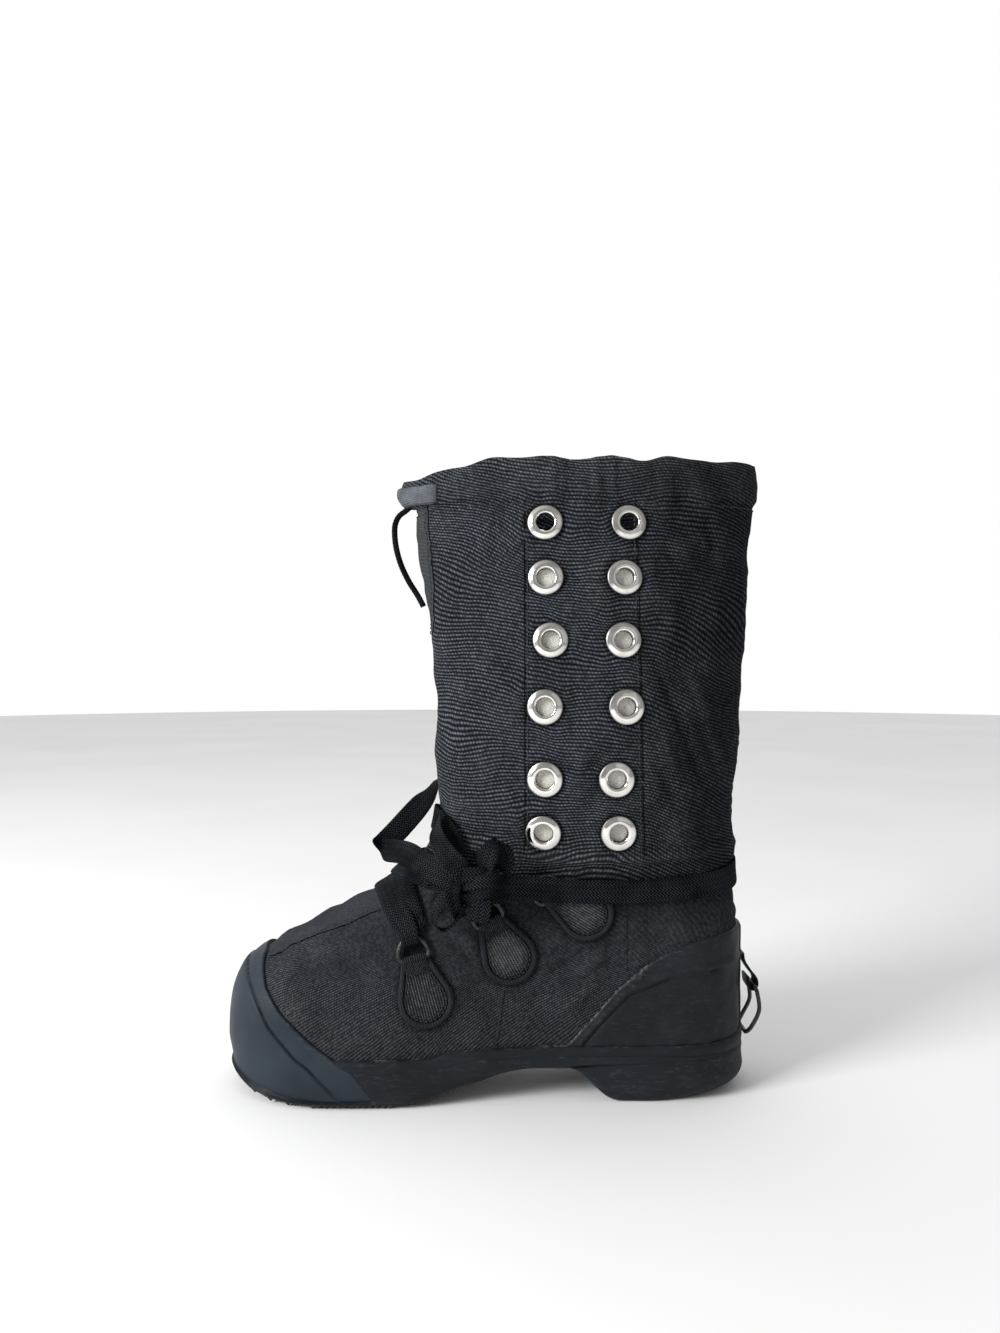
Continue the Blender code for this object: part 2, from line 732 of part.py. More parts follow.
# ---------------------------------------------------------------- the sole
def sole_ring(height_of, flare):
    """The form's outline at the sole's rim, let out sideways by flare and laid at a height."""
    outline = ring(rim_height(0.0) + GAP, SOLE_STEPS, SOLE_EVENNESS)
    around = np.roll(outline, -1, 0) - np.roll(outline, 1, 0)
    normal = np.stack([around[:, 1], -around[:, 0]], 1)
    normal /= np.linalg.norm(normal, axis=1, keepdims=True)
    out = outline.copy()
    out[:, :2] += normal * flare
    out[:, 2] = height_of(out[:, 1])
    return out


def make_outsole(rubber, toe_room):
    """The sole, with a rounded lower edge all round."""
    rings = [
        sole_ring(underside, SOLE_FLARE - 2 * SOLE_EDGE),
        sole_ring(lambda y: underside(y) + SOLE_EDGE, SOLE_FLARE - SOLE_EDGE / 2),
        sole_ring(lambda y: underside(y) + 0.45 * (rim_height(y) - underside(y)), SOLE_FLARE),
        sole_ring(rim_height, SOLE_FLARE - SOLE_EDGE / 4),
    ]
    outsole = add_object("outsole", *stack(rings), rubber)
    return boolean(outsole, toe_room, "DIFFERENCE")


def make_heel_block(rubber):
    """The heel: the sole's outline with a bulging side, cut to its sloping front."""
    rings = []
    for height, out in in_metres(HEEL_BULGE):
        rings.append(sole_ring(lambda y, level=height: 0 * y + level, SOLE_FLARE + out))
    rings.append(sole_ring(lambda y: np.maximum(underside(y), HEEL_LEAST) - GAP, SOLE_FLARE))
    block = add_object("heel_block", *stack(rings), rubber)
    side = in_metres(HEEL_SIDE + [(-38.5, -5.0), (60.0, -5.0), (60.0, 25.0)])
    return boolean(block, add_cutter("heel_cut", *prism(side, *ACROSS_ALL)), "INTERSECT")


def make_insole(felt):
    inset = -CANVAS_WALL - INSOLE_PLAY
    bottom = sole_ring(lambda y: rim_height(y) + GAP, inset)
    top = sole_ring(lambda y: rim_height(y) + GAP + INSOLE_THICK, inset)
    return add_object("insole", *stack([bottom, top]), felt)


def toe_cap_outline(grow):
    """The toe cap seen from the side, its rear edge moved back by grow."""
    edge = [(y + grow, z) for y, z in in_metres(TOE_CAP_EDGE)]
    foot = [(y, z - grow) for y, z in in_metres(TOE_CAP_FOOT)]
    return edge + foot + in_metres([(-280.0, 18.0), (-280.0, 92.0)])


def make_toe_cap(rubber):
    cap = add_object("toe_cap", *shell(FORM_LEVELS, GAP, GAP + RUBBER_WALL), rubber)
    cutter = add_cutter("toe_cap_cut", *prism(toe_cap_outline(0.0), *ACROSS_ALL))
    return boolean(cap, cutter, "INTERSECT")


def make_toe_room():
    """What the toe cap and its clearance take out of the sole and the side band."""
    room = add_cutter("toe_room", *shell(FORM_LEVELS, 0.0, 5 * RUBBER_WALL))
    cutter = add_cutter("toe_room_cut", *prism(toe_cap_outline(GAP), *ACROSS_ALL))
    return boolean(room, cutter, "INTERSECT")


def make_band(rubber, toe_room):
    """The side band, which closes the joint between the sole and the upper all round the heel."""
    band = add_object("side_band", *shell(FORM_LEVELS, GAP, GAP + RUBBER_WALL), rubber)
    along = np.linspace(SOLE_ROWS[0].along * MM, SOLE_ROWS[-1].along * MM, BAND_STEPS)
    low = [(y, float(rim_height(y)) + 2 * GAP) for y in along]
    high = [(y, float(band_top(y))) for y in along]
    cutter = add_cutter("side_band_cut", *prism(low + high[::-1], *ACROSS_ALL))
    boolean(band, cutter, "INTERSECT")
    return boolean(band, toe_room, "DIFFERENCE")


def make_counter(rubber):
    counter = add_object("heel_counter", *shell(FORM_LEVELS, GAP, GAP + COUNTER_WALL), rubber)
    along = np.linspace(COUNTER_EDGE[0][0] * MM, COUNTER_EDGE[-1][0] * MM, COUNTER_STEPS)
    low = [(y, float(band_top(y)) + GAP) for y in along]
    cutter = add_cutter("heel_counter_cut", *prism(low + in_metres(COUNTER_EDGE)[::-1], *ACROSS_ALL))
    return boolean(counter, cutter, "INTERSECT")


# ---------------------------------------------------------------- lace tabs and their rings
def tab_frame(place, side):
    """A tab's fold: the point on the canvas, the normal, the tab's axis towards the ring and across."""
    lean = math.radians(place.lean_deg)
    fold_y = place.along * MM - TAB_REACH * math.sin(lean)
    fold_z = place.height * MM + TAB_REACH * math.cos(lean)
    point, normal = side_frame(fold_y, fold_z, side)
    axis = np.array([0, -math.sin(lean), math.cos(lean)])
    axis -= normal * axis.dot(normal)
    axis /= np.linalg.norm(axis)
    return point, normal, axis, np.cross(normal, axis)


def ring_path(place, side):
    """The wire ring's middle line: a bar in the tab's fold and a bow beyond it."""
    point, normal, axis, across = tab_frame(place, side)
    middle = point + normal * RING_LIFT
    bow = [math.radians(a) for a in range(0, 181, 36)]
    flat = [(math.cos(a), RING_BOW_START + math.sin(a)) for a in bow]
    flat += [(across_share, 0.0) for across_share in RING_BAR]
    flat = np.array(flat) * RING_HALF
    return np.array([middle + across * u + axis * v for u, v in flat])


def tab_outline(place):
    lean = math.radians(place.lean_deg)
    rounds = [math.radians(a) for a in range(-205, 26, 33)]
    flat = [(TAB_ROUND * math.cos(a), TAB_ROUND * math.sin(a)) for a in rounds]
    flat += [(TAB_NECK, TAB_REACH), (-TAB_NECK, TAB_REACH)]
    turned_flat = []
    for u, v in flat:
        y = place.along * MM + u * math.cos(lean) - v * math.sin(lean)
        z = place.height * MM + u * math.sin(lean) + v * math.cos(lean)
        turned_flat.append((y, z))
    return turned_flat


def make_tabs(canvas, wire):
    levels = FORM_LEVELS + SHAFT_LEVELS[:2]
    for side, word in ((1, "left"), (-1, "right")):
        for number, place in enumerate(TAB_PLACES, 1):
            name = f"lace_tab_{word}_{number}"
            tab = add_object(name, *shell(levels, TAB_CLEAR, TAB_CLEAR + TAB_THICK), canvas)
            near, far = sorted((0.0, side * ACROSS_ALL[1]))
            boolean(tab, add_cutter(f"{name}_cut", *prism(tab_outline(place), near, far)), "INTERSECT")
            point, normal, axis, across = tab_frame(place, side)
            middle = point + normal * RING_LIFT
            ends = np.array([middle - across * TAB_FOLD_HALF, middle + across * TAB_FOLD_HALF])
            way = np.tile(normal, (2, 1))
            fold = add_cutter(f"{name}_fold", *swept(ends, way, round_section(TAB_FOLD, TAB_FOLD_SIDES)))
            boolean(tab, fold, "UNION")
            path = ring_path(place, side)
            way = np.tile(normal, (len(path), 1))
            bore = round_section(RING_WIRE + GAP, RING_SIDES)
            boolean(tab, add_cutter(f"{name}_bore", *swept(path, way, bore, True)), "DIFFERENCE")
            section = round_section(RING_WIRE, RING_SIDES)
            add_object(f"lace_ring_{word}_{number}", *swept(path, way, section, True), wire)


def make_collar_patch(binding):
    levels = SHAFT_LEVELS[-6:]
    patch = add_object("collar_patch", *shell(levels, GAP, GAP + PATCH_THICK), binding)
    cutter = add_cutter("collar_patch_cut", *prism(in_metres(PATCH_SIDE), *ACROSS_ALL))
    return boolean(patch, cutter, "INTERSECT")


# ---------------------------------------------------------------- heel chape and bail
def make_chape(rubber):
    path = np.array([(0.0, y, z) for y, z in in_metres(CHAPE_PATH)])
    middle = np.array([0.0, *in_metres([BAIL_AXIS])[0]])
    way = path - middle
    way[:CHAPE_LAID] = CHAPE_FACES
    add_object("heel_chape", *swept(path, way, tape_section(CHAPE_WIDTH, CHAPE_THICK)), rubber)


def make_bail(wire):
    """The bail: a closed wire bow hung from its upper bar, which turns in the chape about its origin."""
    axis, low = np.array(BAIL_AXIS) * MM, np.array(BAIL_LOW) * MM
    right = []
    for across, down in BAIL_SHAPE:
        y, z = (low - axis) * down
        right.append((across * BAIL_HALF_WIDTH, y + BAIL_BOW * math.sin(math.pi * down), z))
    left = [(-x, y, z) for x, y, z in reversed(right)]
    path = np.array(right + left)
    way = np.tile(BAIL_FACES, (len(path), 1))
    points, faces = swept(path, way, round_section(BAIL_WIRE, RING_SIDES), True)
    add_object("heel_bail", points, faces, wire).location = (0.0, *axis)


# ---------------------------------------------------------------- lace and drawcord
def bar_over(rows):
    """A lace bar over the vamp, as its path and the way it faces."""
    points, ways = [], []
    for turn, along, lift in through(rows, BAR_STEPS):
        point, normal = across_of(over_point, along * MM, math.radians(turn), 2 * MM, 0.06)
        points.append(point + normal * lift * MM)
        ways.append(normal)
    return np.array(points), np.array(ways)


def make_lace(tape):
    section = tape_section(TAPE_WIDTH, TAPE_THICK)
    crossings = add_object("lace_crossings", *swept(*bar_over(LOW_BAR), section), tape)
    mirrored = [BarRow(180 - r.turn_deg, r.along, r.lift + SECOND_BAR_LIFT) for r in HIGH_BAR]
    for number, rows in enumerate((HIGH_BAR, mirrored), 2):
        bar = add_cutter(f"lace_bar_{number}", *swept(*bar_over(rows), section))
        boolean(crossings, bar, "UNION")

    points, ways = [], []
    for turn, height, lift in through(WRAP_ROWS, WRAP_STEPS):
        point, normal = across_of(leg_point, math.radians(turn), height * MM, 0.06, 2 * MM)
        points.append(point + normal * lift * MM)
        ways.append(normal)
    add_object("lace_wrap", *swept(np.array(points), np.array(ways), section), tape)

    loops = (
        ("lace_slack", SLACK_ROWS, TAPE_WIDTH),
        ("lace_peak_loop", PEAK_LOOP_ROWS, LOOP_WIDTH),
        ("lace_hanging_loop", HANGING_LOOP_ROWS, LOOP_WIDTH),
        ("lace_tail", TAIL_ROWS, LOOP_WIDTH),
    )
    for name, rows, width in loops:
        found = through(rows, LOOP_STEPS)
        add_object(name, *swept(found[:, :3] * MM, found[:, 3:], tape_section(width, TAPE_THICK)), tape)

    turns = np.linspace(0, 2 * math.pi, KNOT_SIDES, endpoint=False)
    middle, half = np.array(KNOT_MIDDLE) * MM, np.array(KNOT_HALF) * MM
    rings = []
    for down in KNOT_LEVELS:
        wide = math.sqrt(1 - down * down)
        sphere = np.stack([wide * np.cos(turns), wide * np.sin(turns), 0 * turns + down], 1)
        rings.append(middle + half * sphere)
    add_object("lace_knot", *stack(rings), tape)


def make_drawcord(cord):
    curve = bpy.data.curves.new("drawcord", "CURVE")
    curve.dimensions = "3D"
    curve.bevel_depth = DRAWCORD / 2
    curve.bevel_resolution = 2
    curve.use_fill_caps = True
    points = through(in_metres(CORD_ROWS), 1)
    spline = curve.splines.new("POLY")
    spline.points.add(len(points) - 1)
    for spot, point in zip(spline.points, points):
        spot.co = (*point, 1)
    obj = bpy.data.objects.new("drawcord", curve)
    curve.materials.append(cord)
    bpy.context.scene.collection.objects.link(obj)


def main():
    for obj in list(bpy.data.objects):
        bpy.data.objects.remove(obj)
    canvas = material("black_canvas", (0.024, 0.026, 0.031), 0.9)
    rubber = material("black_rubber", (0.028, 0.034, 0.042), 0.55)
    steel = material("nickelled_steel", (0.78, 0.77, 0.74), 0.25, 1.0)
    felt = material("grey_felt", (0.30, 0.29, 0.27), 0.95)
    wire = material("black_wire", (0.03, 0.03, 0.032), 0.35, 0.6)
    binding = material("grey_binding", (0.16, 0.17, 0.18), 0.95)
    tape = material("black_tape", (0.020, 0.021, 0.024), 0.85)
    make_upper(canvas)
    toe_room = make_toe_room()
    make_outsole(rubber, toe_room)
    make_heel_block(rubber)
    make_insole(felt)
    make_toe_cap(rubber)
    make_band(rubber, toe_room)
    make_counter(rubber)
    make_eyelets(steel)
    make_tabs(canvas, wire)
    make_collar_patch(binding)
    make_chape(rubber)
    make_bail(wire)
    make_lace(tape)
    make_drawcord(tape)


main()
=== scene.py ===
"""A cold-weather canvas boot on a moulded rubber bottom, the left one of a pair: its finished look.

The toe points to -Y, +X is the outer side of the foot, the boot stands on z = 0, and lengths are in
metres. The canvas upper, its lining and the rubber parts are worked out from one form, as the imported
model is: a side profile and a plan of the foot.
"""

import math

import bpy
import numpy as np
from bpy.props import FloatProperty, FloatVectorProperty, PointerProperty
from mathutils import Matrix, Vector


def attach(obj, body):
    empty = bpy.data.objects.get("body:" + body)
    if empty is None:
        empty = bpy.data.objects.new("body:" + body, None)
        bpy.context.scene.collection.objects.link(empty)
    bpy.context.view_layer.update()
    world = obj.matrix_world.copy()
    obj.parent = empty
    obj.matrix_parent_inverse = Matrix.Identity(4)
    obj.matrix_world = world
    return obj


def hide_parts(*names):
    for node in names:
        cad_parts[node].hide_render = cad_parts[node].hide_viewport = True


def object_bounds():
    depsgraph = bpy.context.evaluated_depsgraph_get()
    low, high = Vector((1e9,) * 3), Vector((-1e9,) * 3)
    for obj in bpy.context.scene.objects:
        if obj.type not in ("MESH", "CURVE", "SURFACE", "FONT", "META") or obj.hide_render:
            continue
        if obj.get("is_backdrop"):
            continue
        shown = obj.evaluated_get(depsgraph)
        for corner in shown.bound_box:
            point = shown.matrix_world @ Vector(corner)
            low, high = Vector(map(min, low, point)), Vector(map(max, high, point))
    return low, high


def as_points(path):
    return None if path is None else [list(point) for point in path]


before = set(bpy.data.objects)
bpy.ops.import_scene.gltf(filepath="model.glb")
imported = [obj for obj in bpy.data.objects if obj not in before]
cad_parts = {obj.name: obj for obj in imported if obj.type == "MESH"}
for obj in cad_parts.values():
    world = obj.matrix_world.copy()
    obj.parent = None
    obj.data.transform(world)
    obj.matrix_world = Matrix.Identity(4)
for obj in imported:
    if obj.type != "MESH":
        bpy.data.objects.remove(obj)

bl_info = {
    "name": "Cold-weather canvas boot",
    "version": (1, 0, 0),
    "blender": (4, 5, 0),
    "location": "3D View > Sidebar > Boot",
    "description": "Makes the pieces of a canvas boot with a rubber bottom",
    "category": "Add Mesh",
}

PACKED_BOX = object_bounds()
MM = 0.001
GAP = 0.3 * MM

# ---------------------------------------------------------------- the form's tables, in millimetres
# Height, front edge, back edge, half thickness of the leg and how square it is.
SLICES = [
    (0, -250.0, 40.0, 34.0, 2.4),
    (9, -256.5, 41.5, 34.0, 2.4),
    (21, -259.7, 42.0, 34.0, 2.4),
    (33, -261.3, 42.3, 34.0, 2.4),
    (45, -260.4, 42.2, 34.5, 2.4),
    (58, -258.0, 42.1, 35.0, 2.4),
    (68, -253.3, 42.2, 35.5, 2.4),
    (75, -246.6, 42.3, 36.0, 2.4),
    (80, -238.6, 42.4, 36.5, 2.4),
    (91, -221.9, 42.4, 37.0, 2.4),
    (106, -191.4, 42.2, 38.0, 2.4),
    (119, -167.7, 41.2, 39.0, 2.4),
    (133, -151.0, 40.4, 40.5, 2.35),
    (147, -141.2, 40.2, 42.0, 2.3),
    (165, -137.6, 41.0, 43.0, 2.3),
    (192, -137.9, 42.6, 43.5, 2.25),
    (228, -139.2, 45.0, 43.0, 2.2),
    (265, -141.0, 48.0, 41.0, 2.1),
    (296, -145.7, 48.8, 38.0, 2.0),
    (323, -150.0, 50.5, 35.0, 1.95),
    (344, -150.8, 53.2, 32.8, 1.9),
    (348, -158.0, 53.8, 32.4, 1.9),
    (353, -160.0, 54.4, 31.9, 1.9),
    (360, -158.5, 54.6, 31.3, 1.9),
    (370, -157.0, 53.6, 30.5, 1.9),
]
# Place along the foot, half width and how far the middle stands off the heel's axis.
STATIONS = [
    (-262, 49.0, -6.0),
    (-225, 48.6, -3.6),
    (-205, 48.2, -2.8),
    (-185, 47.4, -2.3),
    (-160, 44.8, -0.8),
    (-130, 39.5, 1.5),
    (-100, 34.6, 2.8),
    (-70, 32.4, 2.4),
    (-40, 32.8, 1.2),
    (-10, 34.0, 0.4),
    (43, 34.0, 0.0),
]
# Place along the foot, underside of the sole, its rim and the top of the side band.
SOLE_ROWS = [
    (-268, 13.0, 23.0, 29.0),
    (-256, 8.0, 22.0, 28.6),
    (-243, 3.2, 20.8, 28.2),
    (-228, 0.9, 20.2, 28.0),
    (-215, 0.0, 20.0, 27.6),
    (-155, 0.0, 20.0, 27.4),
    (-140, 3.0, 20.8, 28.0),
    (-128, 6.9, 23.8, 30.8),
    (-117, 11.6, 25.2, 31.2),
    (-105, 15.9, 25.8, 31.4),
    (-94, 18.6, 26.0, 31.6),
    (-82, 19.7, 26.2, 31.8),
    (-62, 19.4, 26.2, 32.0),
    (-50, 20.6, 26.3, 31.6),
    (52, 20.6, 26.5, 33.4),
]
# Lines seen from the side, as (along, height): the toe guard's rear edge, its foot and its upper layer,
# then the counter's edge and its moulded rib.
CAP_EDGE = [
    (-243.0, 92.0),
    (-240.5, 82.0),
    (-239.5, 74.0),
    (-235.0, 63.0),
    (-224.0, 51.0),
    (-208.0, 38.0),
    (-193.0, 27.0),
    (-182.0, 20.0),
    (-176.0, 12.0),
    (-170.0, 4.0),
]
CAP_FOOT = [(-275, 18.0), (-256, 11.6), (-243, 7.0), (-228, 4.4), (-215, 3.4), (-165, 3.2)]
CAP_LAYER = [(-250, 70), (-245.6, 63.4), (-239.5, 55.5), (-230.8, 43), (-215.3, 28), (-207, 22), (-193.6, 8)]
COUNTER_EDGE = [
    (-61.0, 32.6),
    (-54.0, 40.0),
    (-46.0, 48.5),
    (-33.0, 63.5),
    (-17.0, 77.0),
    (-2.0, 85.5),
    (12.0, 90.8),
    (28.0, 94.0),
    (55.0, 96.0),
]
COUNTER_RIB = [(-52, 34), (-43.6, 43.6), (-26.5, 61.3), (-7, 69.6), (14.4, 74.8), (37.2, 75.3), (60, 75.0)]
# The heel: its front at a height, its top at a place along, and how far it swells at a height.
HEEL_FRONT = [
    (0, -34), (0.7, -37), (1.8, -39.3), (3.2, -41.2), (7, -45.6),
    (11.1, -49.8), (14.6, -53.5), (17.6, -57.3), (19.3, -61), (21, -65),
]  # fmt: skip
HEEL_TOP = [(-70, 19.4), (-56, 20.0), (-30, 21.8), (11, 24.3), (36, 26.0), (60, 26.4)]
HEEL_SWELL = [(0.0, -3.0), (1.0, -1.4), (2.4, -0.5), (6.0, 0.3), (12.0, 0.8), (20.0, 0.0)]

# Height of each row of eyelets, and where its two columns are along the shaft.
EYELET_ROWS = [
    (332, -74.0, -25.8),
    (300, -73.8, -28.6),
    (264, -71.2, -29.8),
    (226, -74.5, -28.3),
    (185, -74.6, -34.0),
    (154.5, -75.5, -32.8),
]
# Middle of each tab's round end, and its lean from upright towards the toe in degrees.
TAB_PLACES = [(-142.0, 60.0, 15.0), (-94.5, 83.0, 28.0), (-50.5, 107.5, 58.0)]
TAB_ROUND, TAB_NECK, TAB_REACH = 15.8 * MM, 8.2 * MM, 24.0 * MM
RING_HALF, RING_WIRE, RING_LIFT = 8.6 * MM, 1.3 * MM, 3.1 * MM

# The chape's path, the bail's axis and its lowest point, as (along, height).
CHAPE_PATH = [
    (46.6, 76.0),
    (47.4, 71.5),
    (51.0, 65.5),
    (54.6, 60.8),
    (55.3, 57.2),
    (53.8, 54.4),
    (51.4, 54.4),
    (49.9, 57.2),
    (49.6, 61.5),
]
BAIL_AXIS, BAIL_LOW = (52.6, 57.2), (47.4, 29.5)
# One side of the bail: shares of its half width and of the way from its axis down.
BAIL_SHAPE = [
    (0.0, 0.0), (0.55, 0.0), (0.84, 0.02), (1.0, 0.14), (1.0, 0.5),
    (1.0, 0.84), (0.84, 0.98), (0.55, 1.0), (0.0, 1.0),
]  # fmt: skip

# Lace bars: turn from level on the outer side over the ridge, place along the foot, lift.
LOW_BAR = [(52, -153.0, 5.0), (66, -162.0, 2.6), (90, -169.5, 1.5), (114, -162.0, 2.6), (128, -153.0, 5.0)]
HIGH_BAR = [(54, -148.5, 2.6), (67, -154.0, 3.0), (90, -159.0, 2.7), (105, -148.0, 3.6), (113, -136.0, 4.4)]
# The turn round the ankle: turn about the leg from its front, height, lift.
WRAP_ROWS = [
    (59, 125.2, 7.2),
    (76, 124.5, 6.4),
    (90, 123.0, 6.4),
    (104, 121.5, 4.0),
    (125, 121.5, 1.6),
    (152, 124.0, 1.5),
    (180, 128.0, 1.5),
    (208, 126.0, 1.5),
    (235, 123.5, 1.6),
    (256, 124.0, 4.0),
    (270, 125.5, 6.4),
    (285, 129.0, 6.4),
    (305, 139.0, 3.6),
    (335, 152.0, 2.2),
    (360, 158.0, 2.0),
    (379, 156.0, 2.2),
    (392, 149.0, 3.6),
    (402, 138.5, 9.0),
]
# Free lengths of lace: place, then the way the flat of the tape faces.
SLACK_ROWS = [
    (-24, -139.0, 177.5, 0.5, -0.85, 0.1),
    (-14, -147.0, 166.0, 0.8, -0.55, -0.2),
    (-4, -161.0, 150.5, 0.9, -0.3, -0.3),
    (0.5, -169.8, 141.6, 1.0, -0.1, -0.1),
    (2.4, -173.6, 138.2, 0.1, 0.85, 0.5),
    (4.6, -169.6, 137.8, -1.0, 0.0, 0.0),
    (12, -162.0, 138.8, -0.9, 0.2, -0.3),
    (22, -154.0, 139.0, -0.85, 0.3, -0.4),
    (34, -144.5, 136.0, -0.85, 0.4, -0.3),
    (44, -131.5, 131.6, -0.8, 0.5, -0.3),
    (48.2, -122.9, 129.4, -0.8, 0.5, -0.3),
]
PEAK_ROWS = [
    (52.3, -109.0, 135.5, 0.85, -0.4, 0.3),
    (57, -107.0, 145.0, 0.95, -0.3, 0.1),
    (56.5, -103.6, 153.5, 0.6, 0.0, 0.8),
    (53, -99.0, 149.5, -0.6, 0.5, 0.6),
    (51.5, -97.0, 142.0, -0.9, 0.4, 0.1),
    (49.5, -99.0, 134.5, -0.8, 0.5, 0.0),
]
HANGING_ROWS = [
    (52.2, -122.2, 124.4, 0.8, -0.5, 0.2),
    (54, -133.5, 117.0, 0.5, -0.9, 0.0),
    (54, -136.5, 107.5, 0.3, -0.8, -0.5),
    (53, -131.0, 103.0, 0.1, 0.0, -1.0),
    (53, -124.0, 108.5, 0.1, 0.9, -0.3),
    (53, -118.5, 118.0, 0.2, 0.9, -0.2),
]
TAIL_ROWS = [
    (54.5, -110.0, 121.5, 1.0, 0.0, 0.3),
    (56, -110.5, 114.0, 1.0, 0.0, 0.2),
    (56, -112.0, 107.5, 1.0, 0.0, 0.2),
]
# The drawcord's places, from the casing down.
CORD_ROWS = [
    (1.0, -155.0, 345.6),
    (1.5, -157.5, 343.4),
    (2.0, -161.5, 340.0),
    (2.5, -163.8, 334.0),
    (2.5, -163.6, 325.0),
    (2.5, -161.8, 316.0),
    (2.0, -159.0, 308.0),
    (1.5, -155.0, 300.0),
    (1.0, -150.6, 293.0),
    (0.8, -147.8, 288.0),
    (0.6, -146.6, 285.4),
]

# ---------------------------------------------------------------- the canvas's folds, in millimetres
# Depth (a ridge is positive), width and the fold's line seen from the side, as (along, height).
OUTER_FOLDS = [
    (-2.2, 9, [(-16, 262), (0, 226), (12, 196), (25, 164)]),
    (1.6, 8, [(2, 262), (16, 228), (27, 196), (36, 170)]),
    (1.2, 8, [(-14, 226), (-4, 200), (6, 176)]),
    (-1.3, 6, [(-15, 200), (-4, 180), (6, 160)]),
    (-1.0, 7, [(-12, 330), (8, 300), (28, 285)]),
    (0.9, 9, [(0, 345), (22, 318), (40, 300)]),
    (-0.9, 6, [(20, 345), (24, 320), (22, 300)]),
    (1.3, 7, [(-14, 158), (4, 150), (24, 148)]),
    (1.1, 7, [(-72, 208), (-52, 200), (-36, 207)]),
    (-1.1, 5.5, [(-74, 198), (-54, 189), (-38, 197)]),
    (-0.9, 5, [(-66, 172), (-52, 167), (-42, 171)]),
    (0.9, 5, [(-66, 162), (-52, 159), (-42, 163)]),
    (0.8, 8, [(-64, 246), (-50, 243), (-38, 247)]),
    (-0.7, 7, [(-62, 236), (-50, 232), (-38, 236)]),
    (0.7, 9, [(-64, 284), (-50, 282), (-38, 284)]),
    (-0.6, 8, [(-62, 318), (-50, 314), (-36, 318)]),
    (-1.2, 7, [(-128, 262), (-112, 244), (-96, 236)]),
    (1.1, 7, [(-134, 248), (-114, 230), (-94, 222)]),
    (-1.0, 6, [(-136, 226), (-116, 212), (-96, 208)]),
    (1.2, 8, [(-132, 206), (-114, 196), (-94, 194)]),
    (-1.3, 7, [(-138, 192), (-120, 180), (-98, 178)]),
    (1.5, 8, [(-134, 178), (-116, 168), (-96, 168)]),
    (-2.4, 6, [(-142, 168), (-130, 158), (-114, 152), (-98, 154)]),
    (2.2, 7, [(-138, 150), (-122, 144), (-104, 144), (-92, 146)]),
    (-0.8, 8, [(-146, 318), (-124, 304), (-98, 298)]),
    (0.8, 9, [(-150, 336), (-124, 324), (-98, 322)]),
    (-0.6, 8, [(-142, 290), (-118, 276), (-96, 272)]),
    (-2.0, 6, [(-136, 99), (-124, 90), (-113, 78)]),
    (1.2, 7, [(-124, 98), (-116, 92), (-112, 84)]),
    (-1.8, 5, [(-104, 118), (-96, 108), (-88, 101)]),
    (-1.4, 4.5, [(-147, 101), (-132, 99), (-117, 100)]),
    (-1.5, 6, [(-168, 101), (-160, 96), (-154, 90)]),
    (1.1, 7, [(-182, 92), (-172, 84), (-166, 74)]),
    (-0.9, 7, [(-192, 86), (-182, 76), (-174, 64)]),
    (-1.0, 8, [(-122, 66), (-110, 56), (-100, 44)]),
    (1.0, 9, [(-112, 74), (-98, 60), (-84, 50)]),
    (1.6, 6, [(-78, 59), (-57, 72), (-34, 86)]),
    (-1.6, 5, [(-74, 71), (-54, 83), (-30, 97)]),
    (1.4, 6, [(-68, 50), (-54, 59), (-42, 70)]),
    (-1.3, 5, [(-86, 55), (-66, 66), (-46, 79)]),
    (-1.2, 5, [(-178, 84), (-170, 86), (-160, 82)]),
    (-1.2, 6, [(-40, 112), (-24, 106), (-6, 104)]),
    (1.0, 7, [(-30, 100), (-12, 96), (10, 100)]),
    (-0.8, 6, [(-212, 66), (-202, 54), (-190, 44)]),
]
INNER_FOLDS = [
    (-1.9, 9, [(-10, 270), (6, 232), (16, 200), (30, 172)]),
    (1.5, 8, [(8, 254), (20, 222), (32, 190)]),
    (-1.2, 7, [(-18, 212), (-6, 188), (6, 168)]),
    (0.9, 8, [(-14, 336), (10, 312), (34, 304)]),
    (1.2, 7, [(-16, 160), (6, 152), (26, 150)]),
    (1.0, 7, [(-70, 212), (-52, 204), (-36, 210)]),
    (-1.1, 6, [(-72, 200), (-54, 192), (-38, 198)]),
    (-0.8, 6, [(-66, 170), (-50, 166), (-42, 172)]),
    (-1.2, 7, [(-130, 252), (-112, 238), (-96, 232)]),
    (1.3, 8, [(-134, 216), (-114, 204), (-96, 200)]),
    (-1.4, 7, [(-138, 196), (-118, 184), (-98, 182)]),
    (-2.2, 6, [(-142, 166), (-128, 156), (-112, 152), (-98, 154)]),
    (1.9, 7, [(-138, 150), (-120, 144), (-96, 145)]),
    (-1.8, 6, [(-134, 100), (-122, 90), (-112, 78)]),
    (-1.5, 5, [(-106, 118), (-96, 110), (-86, 102)]),
    (-1.2, 6, [(-168, 100), (-160, 94), (-152, 88)]),
    (1.0, 8, [(-186, 90), (-174, 80), (-166, 70)]),
    (-1.0, 8, [(-120, 66), (-108, 54), (-98, 44)]),
    (0.9, 8, [(-78, 94), (-64, 80), (-56, 64)]),
    (-1.1, 6, [(-38, 112), (-22, 106), (-4, 104)]),
]
# Folds that run on both sides.
ROUND_FOLDS = [
    (2.4, 6.5, [(-100, 141), (-60, 139), (-20, 139), (20, 142), (48, 146)]),
    (-2.0, 7, [(-108, 122), (-60, 120), (-10, 120), (30, 125), (48, 128)]),
    (-1.5, 6, [(-150, 134), (-140, 140), (-128, 142)]),
]
